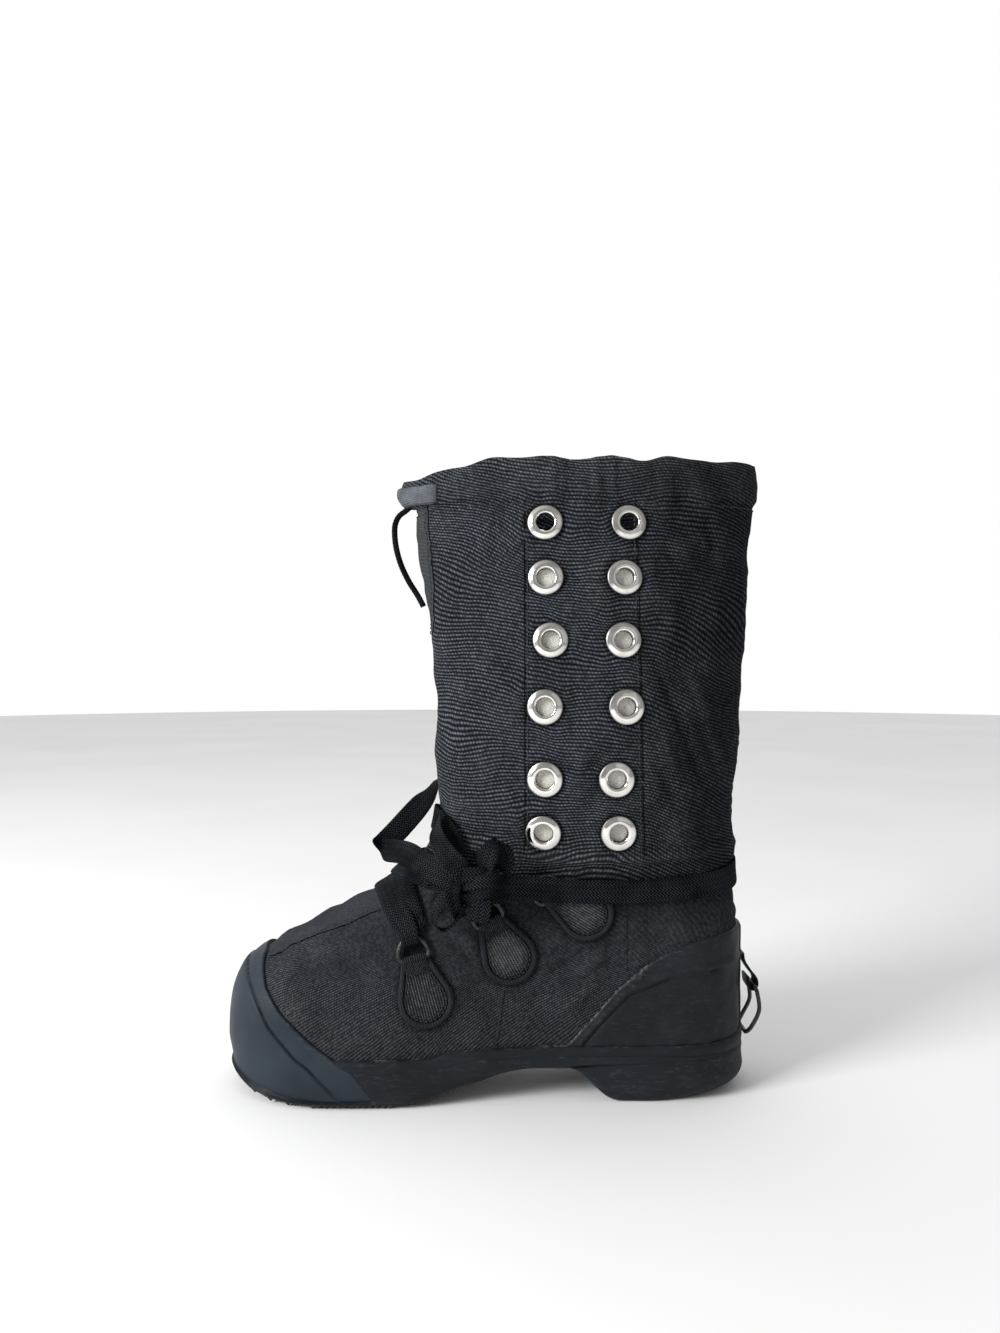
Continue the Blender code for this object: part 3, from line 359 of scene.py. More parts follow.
# Seams of both sides seen from the side, how deep each is pressed into the canvas, and how wide.
PLACKET_FRONT = [(-86, 138), (-86, 345)]
PLACKET_REAR = [(-18, 138), (-20, 240), (-21, 345)]
VAMP_SEAM = [(-238, 76.5), (-222, 84.8), (-204, 92.3), (-187, 99.8), (-171, 107), (-163, 110.5)]
HEEL_SIDE_SEAM = [(-27, 74), (-27, 118)]
MIDFOOT_SEAM = [(-102, 29), (-99.5, 44), (-97.5, 64)]
GUSSET_SEAM = [(-140, 268), (-140, 302), (-141.5, 326), (-143, 346)]
SHAFT_REAR_SEAM = [(36, 130), (40, 240), (46, 345)]
SEAM_GROOVES = [
    (-0.3, PLACKET_FRONT),
    (-0.3, PLACKET_REAR),
    (-0.3, VAMP_SEAM),
    (-0.3, HEEL_SIDE_SEAM),
    (-0.25, MIDFOOT_SEAM),
    (-0.3, GUSSET_SEAM),
    (-0.4, SHAFT_REAR_SEAM),
]
SEAM_WIDTH = 2.4


# ---------------------------------------------------------------- curves and the form
class Curve:
    """A smooth curve through a short table that never swings past its rows."""

    def __init__(self, places, values):
        self.places = np.array(places, float)
        self.values = np.array(values, float)
        rise = np.diff(self.values) / np.diff(self.places)
        product = rise[:-1] * rise[1:]
        total = np.where(product > 0, rise[:-1] + rise[1:], 1.0)
        inner = np.where(product > 0, 2 * product / total, 0.0)
        self.slopes = np.concatenate([rise[:1], inner, rise[-1:]])

    def __call__(self, place):
        place = np.clip(place, self.places[0], self.places[-1])
        last = len(self.places) - 2
        row = np.clip(np.searchsorted(self.places, place, side="right") - 1, 0, last)
        run = self.places[row + 1] - self.places[row]
        t = (place - self.places[row]) / run
        start, end = self.values[row], self.values[row + 1]
        bend_in, bend_out = self.slopes[row] * run, self.slopes[row + 1] * run
        level = start * (1 + 2 * t) * (1 - t) ** 2 + end * t * t * (3 - 2 * t)
        return level + bend_in * t * (1 - t) ** 2 - bend_out * t * t * (1 - t)


def column_curve(rows, number):
    """A curve through one column of a table in millimetres, over its first."""
    return Curve([r[0] * MM for r in rows], [r[number] * MM for r in rows])


front_edge, back_edge, half_thick = (column_curve(SLICES, k) for k in (1, 2, 3))
squareness = Curve([r[0] * MM for r in SLICES], [r[4] for r in SLICES])
plan_half, plan_middle = column_curve(STATIONS, 1), column_curve(STATIONS, 2)
underside, rim_height, band_top = (column_curve(SOLE_ROWS, k) for k in (1, 2, 3))
crown_rows = np.arange(33, 152, 0.25) * MM
crown_places = front_edge(crown_rows)
WIDEST = 30 * MM
# How far in from its tip the toe is rounded, and the heel, and where the foot passes into the leg.
TOE_RUN, HEEL_RUN = 74 * MM, 40 * MM
LEG_FROM, LEG_TO = 85 * MM, 160 * MM
# The part of the shaft that droops to the front with the collar, and the collar's top.
DROOP_FROM, DROOP_RUN, COLLAR_TOP = 325 * MM, 45 * MM, 370 * MM
CANVAS_WALL, EYELET_HOLE = 2.0 * MM, 6.9 * MM


def crown_height(y):
    """Height of the foot's ridge; under the shaft it climbs on, out of reach."""
    return np.interp(y, crown_places, crown_rows) + 9.0 * np.maximum(y - crown_places[-1], 0)


def smoothstep(low, high, value):
    """Nought at low, one at high, and an even S between them."""
    t = np.clip((value - low) / (high - low), 0, 1)
    return t * t * (3 - 2 * t)


def hill(distance, width):
    """One at no distance, and falling off smoothly over about a width."""
    return np.exp(-((distance / width) ** 2))


def rounded(distance, run, shape):
    """The share of a full width near an end that is rounded off over a run."""
    near = np.clip(1 - distance / run, 0, 1)
    return (1 - near**shape) ** (1 / shape)


def half_width(y, z):
    """Half the width of the form at a place along it and a height."""
    y, z = np.broadcast_arrays(np.asarray(y, float), np.asarray(z, float))
    tip = np.where(z < WIDEST, front_edge(z), front_edge(WIDEST))
    toe = rounded(y - tip, TOE_RUN, 2.25)
    heel = rounded(back_edge(z) - y, HEEL_RUN, 2.2)
    rise = np.clip((z - WIDEST) / (crown_height(y) - WIDEST), 0, 1)
    crown = (1 - rise**2.5) ** (1 / 2.1)
    tuck = 1 - 0.05 * np.clip(1 - z / WIDEST, 0, 1) ** 2
    foot = plan_half(y) * toe * heel * crown * tuck
    middle, reach = (front_edge(z) + back_edge(z)) / 2, (back_edge(z) - front_edge(z)) / 2
    across = np.clip(np.abs(y - middle) / reach, 0, 1)
    tube = half_thick(z) * (1 - across ** squareness(z)) ** (1 / squareness(z))
    share = smoothstep(LEG_FROM, LEG_TO, z)
    return (1 - share) * foot + share * tube


def middle_line(y, z):
    """How far the form's middle stands off the heel's axis."""
    return plan_middle(y) * (1 - smoothstep(LEG_FROM, LEG_TO, z))


def collar_drop(y):
    """How much lower than at the back the collar stands over a place."""
    return 10 * MM * (1 - smoothstep(0, 55 * MM, y - front_edge(COLLAR_TOP)))


def level_height(level, y):
    """A level's height over a place: low levels follow the sole's rim, the top ones the collar."""
    low = np.clip((70 * MM - level) / (70 * MM - rim_height(0.0)), 0, 1)
    high = np.clip((level - DROOP_FROM) / DROOP_RUN, 0, 1)
    return level + (rim_height(y) - rim_height(0.0)) * low - collar_drop(y) * high


def level_of(y, z):
    """The collar level that runs through a place."""
    level = z
    for _ in range(4):
        level = z + collar_drop(y) * np.clip((level - DROOP_FROM) / DROOP_RUN, 0, 1)
    return level


def side_row(height_of, count, bound=None, front=False):
    """Even places along the form's side at a height, as rows of middle, half width, along and height.

    With a bound, a place along for each height, only the part behind it, or in front of it, is kept.
    """
    # The ends of the side at that height, found from a guess.
    nose, back = -0.25, 0.04
    for _ in range(16):
        nose = float(front_edge(height_of(nose)))
        back = float(back_edge(height_of(back)))
    share = (1 - np.cos(np.linspace(0, math.pi, 900))) / 2
    y = nose + (back - nose) * share
    z = height_of(y) + 0 * y
    half = half_width(y, z)
    half[0] = half[-1] = 0
    table = np.stack([middle_line(y, z), half, y, z])
    if bound is not None:
        past = y - bound(z)
        if front:
            table, past = table[:, ::-1], -past[::-1]
        first = int(np.argmax(past >= 0))
        if first > 0:
            t = past[first - 1] / (past[first - 1] - past[first])
            cut = table[:, first - 1] * (1 - t) + table[:, first] * t
            table = np.concatenate([cut[:, None], table[:, first:]], 1)
        if front:
            table = table[:, ::-1]
    run = np.linalg.norm(np.diff(table[1:], axis=1), axis=0)
    gone = np.concatenate([[0], np.cumsum(run)])
    wanted = np.linspace(0, gone[-1], count)
    return np.array([np.interp(wanted, gone, line) for line in table])


def both_sides(row):
    """The points of a side row on the outer and on the inner side."""
    middle, half, y, z = row
    return np.stack([middle + half, y, z], 1), np.stack([middle - half, y, z], 1)


def whole_ring(row):
    """Nose, outer side, back, inner side."""
    outer, inner = both_sides(row)
    return np.concatenate([outer, inner[-2:0:-1]])


def back_arch(row):
    """From the front of the outer side round the back to the front of the inner side."""
    outer, inner = both_sides(row)
    return np.concatenate([outer, inner[-2::-1]])


def front_arch(row):
    """From the back of the inner side round the nose to the back of the outer side."""
    outer, inner = both_sides(row)
    return np.concatenate([inner[::-1], outer[1:]])


def normals_of(grid, closed):
    """Outward normals of a grid, closed round its rows or open."""
    if closed:
        around = np.roll(grid, -1, 1) - np.roll(grid, 1, 1)
    else:
        around = np.gradient(grid, axis=1)
    normal = np.cross(around, np.gradient(grid, axis=0))
    return normal / np.maximum(np.linalg.norm(normal, axis=2, keepdims=True), 1e-12)


def side_point(y, z, side):
    """Points of the form at places of the side view."""
    across = middle_line(y, z) + side * half_width(y, z)
    return np.stack([across, y + 0 * z, z + 0 * y], -1)


def side_normal(y, z, side, step=0.5 * MM):
    """The form's outward normals at places of the side view."""
    along = side_point(y + step, z, side) - side_point(y - step, z, side)
    up = side_point(y, z + step, side) - side_point(y, z - step, side)
    normal = np.cross(along, up) * side
    return normal / np.linalg.norm(normal, axis=-1, keepdims=True)


def leg_point(turn, height):
    """A point of the form at a turn about the leg, from its front round the outer side."""
    front, back = front_edge(height), back_edge(height)
    y = (front + back) / 2 - (back - front) / 2 * np.cos(turn)
    side = np.where(np.sin(turn) >= 0, 1, -1)
    return np.stack([middle_line(y, height) + side * half_width(y, height), y, height], -1)


def over_point(along, turn):
    """A point of the foot's form on a ray that leans by turn from +X, over the vamp's inner line."""
    low, high = 0 * along, 0 * along + 130 * MM
    for _ in range(40):
        reach = (low + high) / 2
        z = 55 * MM + reach * np.sin(turn)
        inside = (half_width(along, z) > np.abs(reach * np.cos(turn))) & (z < crown_height(along))
        low, high = np.where(inside, reach, low), np.where(inside, high, reach)
    x, z = low * np.cos(turn), 55 * MM + low * np.sin(turn)
    return np.stack([middle_line(along, z) + x, along, z], -1)


def lifted(point_at, first, second, lift, step_first, step_second):
    """Points of a surface of two measures, lifted off it, with its outward normals."""
    one = point_at(first + step_first, second) - point_at(first - step_first, second)
    two = point_at(first, second + step_second) - point_at(first, second - step_second)
    normal = np.cross(one, two)
    normal /= np.linalg.norm(normal, axis=-1, keepdims=True)
    return point_at(first, second) + normal * lift[..., None], normal


def through(rows, steps):
    """A Catmull-Rom curve through the rows."""
    rows = np.array(rows, float)
    ends = np.concatenate([[2 * rows[0] - rows[1]], rows, [2 * rows[-1] - rows[-2]]])
    t = (np.arange(steps) / steps)[:, None]
    found = []
    for a, b, c, d in zip(ends, ends[1:], ends[2:], ends[3:]):
        bend = (2 * a - 5 * b + 4 * c - d) * t * t + (3 * b - a - 3 * c + d) * t**3
        found.append((2 * b + (c - a) * t + bend) / 2)
    return np.concatenate(found + [rows[-1:]])


def gone_along(points):
    """How far along a line each of its points lies."""
    return np.concatenate([[0], np.cumsum(np.linalg.norm(np.diff(points, axis=0), axis=1))])


def length_of(points):
    """The length of a line through points."""
    return float(np.linalg.norm(np.diff(points, axis=0), axis=1).sum())


def table_of(rows, place, left=None):
    """A value from a table of two columns in millimetres, straight from row to row."""
    return np.interp(place, *zip(*[(a * MM, b * MM) for a, b in rows]), left=left)


def from_line(line, y, z):
    """Each place's distance from a line in the side view, its share along the line and its side of it."""
    line = np.array(line, float) * MM
    runs = np.linalg.norm(np.diff(line, axis=0), axis=1)
    gone = np.concatenate([[0], np.cumsum(runs)])
    least = np.full(np.shape(y), 9.0)
    share, side = np.zeros(np.shape(y)), np.zeros(np.shape(y))
    for k, run in enumerate(runs):
        way = (line[k + 1] - line[k]) / run
        dy, dz = y - line[k, 0], z - line[k, 1]
        along = np.clip(dy * way[0] + dz * way[1], 0, run)
        gap = np.hypot(dy - along * way[0], dz - along * way[1])
        near = gap < least
        least = np.where(near, gap, least)
        share = np.where(near, (gone[k] + along) / gone[-1], share)
        side = np.where(near, np.sign(way[0] * dz - way[1] * dy), side)
    return least, share, side


def ripple(points, size, seed, waves=14):
    """Smooth random waves of about a size, of spread one."""
    draw = np.random.default_rng(seed)
    total = np.zeros(points.shape[:-1])
    for _ in range(waves):
        way = draw.normal(size=3)
        way *= 2 * math.pi / (np.linalg.norm(way) * size * draw.uniform(0.7, 1.5))
        total += np.sin(points @ way + draw.uniform(0, 2 * math.pi))
    return total * math.sqrt(2 / waves)


# ---------------------------------------------------------------- the canvas's relief
def eyelet_frames():
    """Each eyelet's name, its place on the form and the normal there."""
    for side, word in ((1, "left"), (-1, "right")):
        number = 0
        for height, *columns in EYELET_ROWS:
            for y in columns:
                number += 1
                y_m, z_m = np.array(y * MM), np.array(height * MM)
                yield f"eyelet_{word}_{number:02d}", side_point(y_m, z_m, side), side_normal(y_m, z_m, side)


EYELETS = list(eyelet_frames())


def cap_edge(z):
    """Place along of the toe guard's rear edge at a height."""
    return table_of(sorted((height, along) for along, height in CAP_EDGE), z)


def counter_height(y):
    """Height of the counter's edge at a place along, and nought in front of it."""
    return table_of(COUNTER_EDGE, y, 0.0)


def tab_measure(place, y, z):
    """How far a place lies outside a tab's outline; inside it is negative."""
    along, height, lean = place[0] * MM, place[1] * MM, math.radians(place[2])
    dy, dz = y - along, z - height
    u = dy * math.cos(lean) + dz * math.sin(lean)
    v = -dy * math.sin(lean) + dz * math.cos(lean)
    spine = np.clip(v, 0, TAB_REACH)
    width = TAB_ROUND + (TAB_NECK - TAB_ROUND) * smoothstep(0, TAB_REACH, spine)
    return np.hypot(u, v - spine) - width


def nearest_eyelet(points):
    """Each point's distance from the nearest eyelet."""
    least = np.full(points.shape[:-1], 9.0)
    for _, place, _ in EYELETS:
        least = np.minimum(least, np.linalg.norm(points - place, axis=-1))
    return least


def eyelet_puckers(points):
    """Small pulls of the cloth that run out from each eyelet."""
    total = np.zeros(points.shape[:-1])
    for number, (_, place, _) in enumerate(EYELETS):
        gap = points - place
        far = np.linalg.norm(gap, axis=-1)
        turn = np.arctan2(gap[..., 2], gap[..., 1])
        total += 0.35 * np.cos(5 * turn + 1.7 * number) * hill(far - 13.5 * MM, 4 * MM)
        total -= 0.4 * hill(far - 11 * MM, 1.8 * MM)
    return total


def fold_heights(points, side):
    """Heights of the cloth's small waves and of the placed folds, in millimetres."""
    y, z = points[..., 1], points[..., 2]
    total = 0.45 * ripple(points, 26 * MM, 3) + 0.10 * ripple(points, 10 * MM, 4)
    total *= 1 - 0.5 * smoothstep(80 * MM, 60 * MM, z)
    for wanted, folds in ((1, OUTER_FOLDS), (-1, INNER_FOLDS), (0, ROUND_FOLDS)):
        on_side = np.where(side == wanted, 1.0, 0.0) if wanted else 1.0
        for depth, width, line in folds:
            far, share, _ = from_line(line, y, z)
            taper = np.sin(math.pi * share) ** 0.8 * on_side
            total += depth * hill(far, 0.42 * width * MM) * taper
    return total


def free_share(y, z):
    """One where the cloth is free, and nought where rubber or a tab holds it flat."""
    free = smoothstep(-1 * MM, 6 * MM, z - band_top(y)) * smoothstep(0, 6 * MM, y - cap_edge(z))
    free *= smoothstep(-1 * MM, 6 * MM, z - counter_height(y))
    for place in TAB_PLACES:
        free *= smoothstep(-1 * MM, 5 * MM, tab_measure(place, y, z))
    return free


def relief(points, side, seams=True):
    """How far the canvas stands off its form, in metres: its folds, seams, casing and small waves."""
    y, z = points[..., 1], points[..., 2]
    level, quiet = level_of(y, z), free_share(y, z)
    total = fold_heights(points, side) * quiet * smoothstep(8 * MM, 15 * MM, nearest_eyelet(points))
    if not seams:
        return total * MM * bpy.context.scene.boot_sizes.relief
    for depth, line in SEAM_GROOVES:
        far, share, _ = from_line(line, y, z)
        ends = np.clip(np.minimum(share, 1 - share) * 12, 0, 1)
        total += depth * hill(far, 0.5 * SEAM_WIDTH * MM) * ends * quiet
        total += 0.16 * hill(far, 2.2 * SEAM_WIDTH * MM) * ripple(points, 6 * MM, 8) * ends * quiet
    total += eyelet_puckers(points) * quiet
    casing = smoothstep(346 * MM, 350 * MM, level) * (1 - 0.7 * smoothstep(364 * MM, COLLAR_TOP, level))
    turn = np.arctan2(points[..., 0], -(y + 52 * MM))
    patch = smoothstep(-128 * MM, -138 * MM, y)
    pleats = np.sin(19 * turn + 2.0 * np.sin(3 * turn)) + 0.6 * np.sin(31 * turn + 1.3 * np.sin(5 * turn) + 1)
    gather = smoothstep(334 * MM, 350 * MM, level) * (1 - 0.75 * patch)
    total += casing * (1 - 0.5 * patch) + 0.24 * pleats * gather
    total -= 0.45 * hill(level - 345 * MM, 1.0 * MM)
    back_seam = hill(points[..., 0], 3.2 * MM) * smoothstep(20 * MM, 34 * MM, y)
    lumps = 0.9 + 0.7 * np.sin(z / (2.6 * MM)) * smoothstep(128 * MM, 112 * MM, z)
    total += back_seam * lumps * smoothstep(90 * MM, 100 * MM, z)
    return total * MM * bpy.context.scene.boot_sizes.relief


def skin(y, z, side, lift=0.0):
    """Points on the finished canvas at places of the side view, and the form's normals there."""
    y, z = np.broadcast_arrays(np.asarray(y, float), np.asarray(z, float))
    points, normal = side_point(y, z, side), side_normal(y, z, side)
    out = relief(points, np.full(y.shape, side)) + lift
    return points + normal * out[..., None], normal


# ---------------------------------------------------------------- meshes
def grid_faces(rows, columns, first=0, closed=False, flip=False):
    """Four-sided faces over a grid's points, numbered from first."""
    r, c = np.meshgrid(np.arange(rows - 1), np.arange(columns if closed else columns - 1), indexing="ij")
    low, high, after = r * columns, (r + 1) * columns, (c + 1) % columns
    quads = np.stack([low + c, low + after, high + after, high + c], -1).reshape(-1, 4) + first
    return (quads[:, ::-1] if flip else quads).tolist()


def plate(outer, inner, closed=False):
    """A closed slab between two grids of the same shape."""
    rows, columns = outer.shape[:2]
    count = rows * columns
    faces = grid_faces(rows, columns, 0, closed) + grid_faces(rows, columns, count, closed, True)
    for c in range(columns if closed else columns - 1):
        d = (c + 1) % columns
        top = (rows - 1) * columns
        faces.append([c, count + c, count + d, d])
        faces.append([top + c, top + d, count + top + d, count + top + c])
    if not closed:
        for r in range(rows - 1):
            a, b = r * columns, (r + 1) * columns
            faces.append([a, b, count + b, count + a])
            a, b = a + columns - 1, b + columns - 1
            faces.append([a, count + a, count + b, b])
    return np.concatenate([outer.reshape(-1, 3), inner.reshape(-1, 3)]), faces


def tube_faces(rows, count, closed):
    """The sides of a tube, row by row of its sections."""
    faces = []
    for row in range(rows if closed else rows - 1):
        a, b = row * count, (row + 1) % rows * count
        faces += [[a + i, a + (i + 1) % count, b + (i + 1) % count, b + i] for i in range(count)]
    return faces


def sweep(path, ways, section, widths=None, closed=False):
    """A solid of a section of (sideways, outwards) points along a path; also how far across and along.

    The ways that the section's outside faces are one for each place, or one for all.
    """
    path = np.asarray(path, float)
    ways = np.broadcast_to(np.asarray(ways, float), path.shape)
    if closed:
        tangent = np.roll(path, -1, 0) - np.roll(path, 1, 0)
    else:
        tangent = np.gradient(path, axis=0)
    tangent /= np.linalg.norm(tangent, axis=1, keepdims=True)
    out = ways - tangent * np.sum(ways * tangent, axis=1, keepdims=True)
    out /= np.linalg.norm(out, axis=1, keepdims=True)
    side = np.cross(out, tangent)
    section = np.asarray(section, float)
    rows, count = len(path), len(section)
    widths = np.ones(rows) if widths is None else np.asarray(widths)
    points = path[:, None] + side[:, None] * (section[None, :, :1] * widths[:, None, None])
    points = points + out[:, None] * section[None, :, 1:]
    faces = tube_faces(rows, count, closed)
    if not closed:
        faces += [list(range(count))[::-1], list(range((rows - 1) * count, rows * count))]
    return points.reshape(-1, 3), faces, np.tile(section[:, 0], rows), np.repeat(gone_along(path), count)


def round_section(radius, sides, flat=1.0):
    angles = np.arange(sides) * 2 * math.pi / sides
    return np.stack([radius * np.cos(angles), flat * radius * np.sin(angles)], 1)


def tape_section(width, thick, curl=0.0):
    """A flat tape's section with soft edges, a little dished by curl."""
    u = np.array([-1, -0.97, -0.88, -0.6, -0.3, 0, 0.3, 0.6, 0.88, 0.97, 1]) * width / 2
    half = thick / 2 * (1 - np.abs(2 * u / width) ** 8) ** 0.5
    dish = curl * (2 * u / width) ** 2
    lower = np.stack([u, dish - half], 1)
    upper = np.stack([u, dish + half], 1)[-2:0:-1]
    return np.concatenate([lower, upper])


class Bag:
    """Meshes put together for one piece."""

    def __init__(self):
        self.points, self.faces, self.values, self.count = [], [], {}, 0

    def add(self, points, faces, **values):
        points = np.asarray(points, float).reshape(-1, 3)
        self.faces += [[i + self.count for i in face] for face in faces]
        for key in set(values) | set(self.values):
            rows = self.values.setdefault(key, [np.zeros(self.count)] if self.count else [])
            rows.append(np.broadcast_to(np.asarray(values.get(key, 0.0), float).reshape(-1), (len(points),)))
        self.points.append(points)
        self.count += len(points)
        return self

    def piece(self, name, finish, slot, *replaced, sharp=40):
        values = {key: np.concatenate(rows) for key, rows in self.values.items()}
        points = np.concatenate(self.points)
        return piece(name, points, self.faces, finish, slot, *replaced, sharp=sharp, **values)


def piece(name, points, faces, finish, slot, *replaced, body="boot", sharp=40, **values):
    """One object with its finish and body, and a value of each kind for every point; its slot is not used."""
    mesh = bpy.data.meshes.new(name)
    mesh.from_pydata(np.asarray(points).tolist(), [], faces)
    for key, numbers in values.items():
        layer = mesh.attributes.new(key, "FLOAT", "POINT")
        layer.data.foreach_set("value", np.asarray(numbers, np.float32).ravel())
    mesh.materials.append(finish)
    mesh.shade_smooth()
    mesh.set_sharp_from_angle(angle=math.radians(sharp))
    obj = bpy.data.objects.new(name, mesh)
    bpy.context.scene.collection.objects.link(obj)
    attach(obj, body)
    if replaced:
        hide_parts(*replaced)
    return obj


def rubber_wall(name, grid, normal, wall, finish, slot, node, **values):
    """A wall of rubber over a grid of the form, wall millimetres thick, with values of nought to one."""
    points, faces = plate(grid + normal * (GAP + wall * MM)[..., None], grid + normal * GAP)
    values = {key: np.tile(np.clip(numbers, 0, 1).ravel(), 2) for key, numbers in values.items()}
    piece(name, points, faces, finish_of(finish), slot, node, sharp=50, **values)


def wire_piece(name, path, way, radius, node, body="boot"):
    """A closed bow of round wire."""
    points, faces, _, _ = sweep(path, way, round_section(radius, 12), closed=True)
    piece(name, points, faces, finish_of("black wire"), "wire", node, body=body, sharp=60)


def stitches(bag, points, normals, pitch, thick=0.3 * MM, share=0.72):
    """Short thread loops along a line that lies on the cloth, each dipping in at both ends."""
    points, normals = np.asarray(points), np.asarray(normals)
    gone = gone_along(points)
    count = int(gone[-1] / pitch)
    if count < 1:
        return
    middle = (np.arange(count) + 0.5) * gone[-1] / count
    steps = np.array([-0.5, -0.34, 0.0, 0.34, 0.5])
    rise = np.array([-0.6, 0.45, 0.75, 0.45, -0.6])
    rows, sides = len(steps), 6
    at = np.clip(middle[:, None] + steps * pitch * share, 0, gone[-1])
    centre = np.stack([np.interp(at, gone, points[:, k]) for k in range(3)], -1)
    normal = np.stack([np.interp(at, gone, normals[:, k]) for k in range(3)], -1)
    normal /= np.linalg.norm(normal, axis=-1, keepdims=True)
    along = np.gradient(centre, axis=1)
    along /= np.linalg.norm(along, axis=-1, keepdims=True)
    across = np.cross(normal, along)
    turn = np.arange(sides) * math.pi / 3
    shape = across[:, :, None] * np.cos(turn)[:, None] + normal[:, :, None] * np.sin(turn)[:, None]
    rings = (centre + normal * (rise * thick)[:, None])[:, :, None] + shape * thick
    faces = []
    for k in range(count):
        first, last = k * rows * sides, (k * rows + rows - 1) * sides
        faces += grid_faces(rows, sides, first, True, True)
        faces += [list(range(first, first + sides)), list(range(last, last + sides))[::-1]]
    bag.add(rings.reshape(-1, 3), faces)


# ---------------------------------------------------------------- finishes
class Finish:
    """A material, with short calls for its nodes."""

    def __init__(self, name, roughness, metallic=0.0, **sockets):
        self.material = bpy.data.materials.new(name)
        self.material.use_nodes = True
        self.tree = self.material.node_tree
        self.shader = self.tree.nodes["Principled BSDF"]
        self.shader.inputs["Roughness"].default_value = roughness
        self.shader.inputs["Metallic"].default_value = metallic
        for key, value in sockets.items():
            self.shader.inputs[key.replace("_", " ").title().replace("Ior", "IOR")].default_value = value
        self.place = self.tree.nodes.new("ShaderNodeTexCoord").outputs["Object"]

    def put(self, socket, value):
        if isinstance(value, bpy.types.NodeSocket):
            self.tree.links.new(value, socket)
        elif isinstance(value, tuple) and len(value) == 3 and socket.type == "RGBA":
            socket.default_value = (*value, 1)
        else:
            socket.default_value = value

    def math(self, operation, *values, clamp=False):
        made = self.tree.nodes.new("ShaderNodeMath")
        made.operation, made.use_clamp = operation, clamp
        for socket, value in zip(made.inputs, values):
            self.put(socket, value)
        return made.outputs[0]

    def times(self, first, second, clamp=False):
        return self.math("MULTIPLY", first, second, clamp=clamp)

    def plus(self, first, second):
        return self.math("ADD", first, second)

    def mix(self, share, first, second):
        made = self.tree.nodes.new("ShaderNodeMix")
        made.data_type = "RGBA"
        for number, value in ((0, share), (6, first), (7, second)):
            self.put(made.inputs[number], value)
        return made.outputs[2]

    def shades(self, share, colour, low, high):
        """From a darker shade of a colour to a lighter one, by share."""
        return self.mix(share, tuple(low * c for c in colour), tuple(high * c for c in colour))

    def scaled(self, colour, factor):
        made = self.tree.nodes.new("ShaderNodeVectorMath")
        made.operation = "SCALE"
        self.put(made.inputs[0], colour)
        self.put(made.inputs["Scale"], factor)
        return made.outputs[0]

    def noise(self, size, detail=3.0, rough=0.5, stretch=None):
        """Cloudy values of about a size in metres."""
        place = self.place
        if stretch:
            made = self.tree.nodes.new("ShaderNodeMapping")
            made.inputs["Scale"].default_value = stretch
            self.put(made.inputs["Vector"], place)
            place = made.outputs[0]
        made = self.tree.nodes.new("ShaderNodeTexNoise")
        self.put(made.inputs["Vector"], place)
        made.inputs["Scale"].default_value = 1 / size
        made.inputs["Detail"].default_value = detail
        made.inputs["Roughness"].default_value = rough
        return made.outputs[0]

    def value(self, name):
        made = self.tree.nodes.new("ShaderNodeAttribute")
        made.attribute_name = name
        return made.outputs["Fac"]

    def ramp(self, value, low, high, start=0.0, end=1.0):
        made = self.tree.nodes.new("ShaderNodeMapRange")
        made.interpolation_type = "SMOOTHSTEP"
        for number, given in enumerate((value, low, high, start, end)):
            self.put(made.inputs[number], given)
        return made.outputs[0]

    def wave(self, turns):
        """Zero to one and back once for each whole turn."""
        sine = self.math("SINE", self.times(turns, 2 * math.pi))
        return self.math("MULTIPLY_ADD", sine, 0.5, 0.5)

    def finish(self, colour, roughness=None, height=None, depth=0.0002, strength=0.6):
        self.put(self.shader.inputs["Base Color"], colour)
        if roughness is not None:
            self.put(self.shader.inputs["Roughness"], roughness)
        if height is not None:
            bump = self.tree.nodes.new("ShaderNodeBump")
            bump.inputs["Strength"].default_value = strength
            bump.inputs["Distance"].default_value = depth
            self.put(bump.inputs["Height"], height)
            self.tree.links.new(bump.outputs[0], self.shader.inputs["Normal"])
        return self.material


def colours():
    return bpy.context.scene.boot_colours


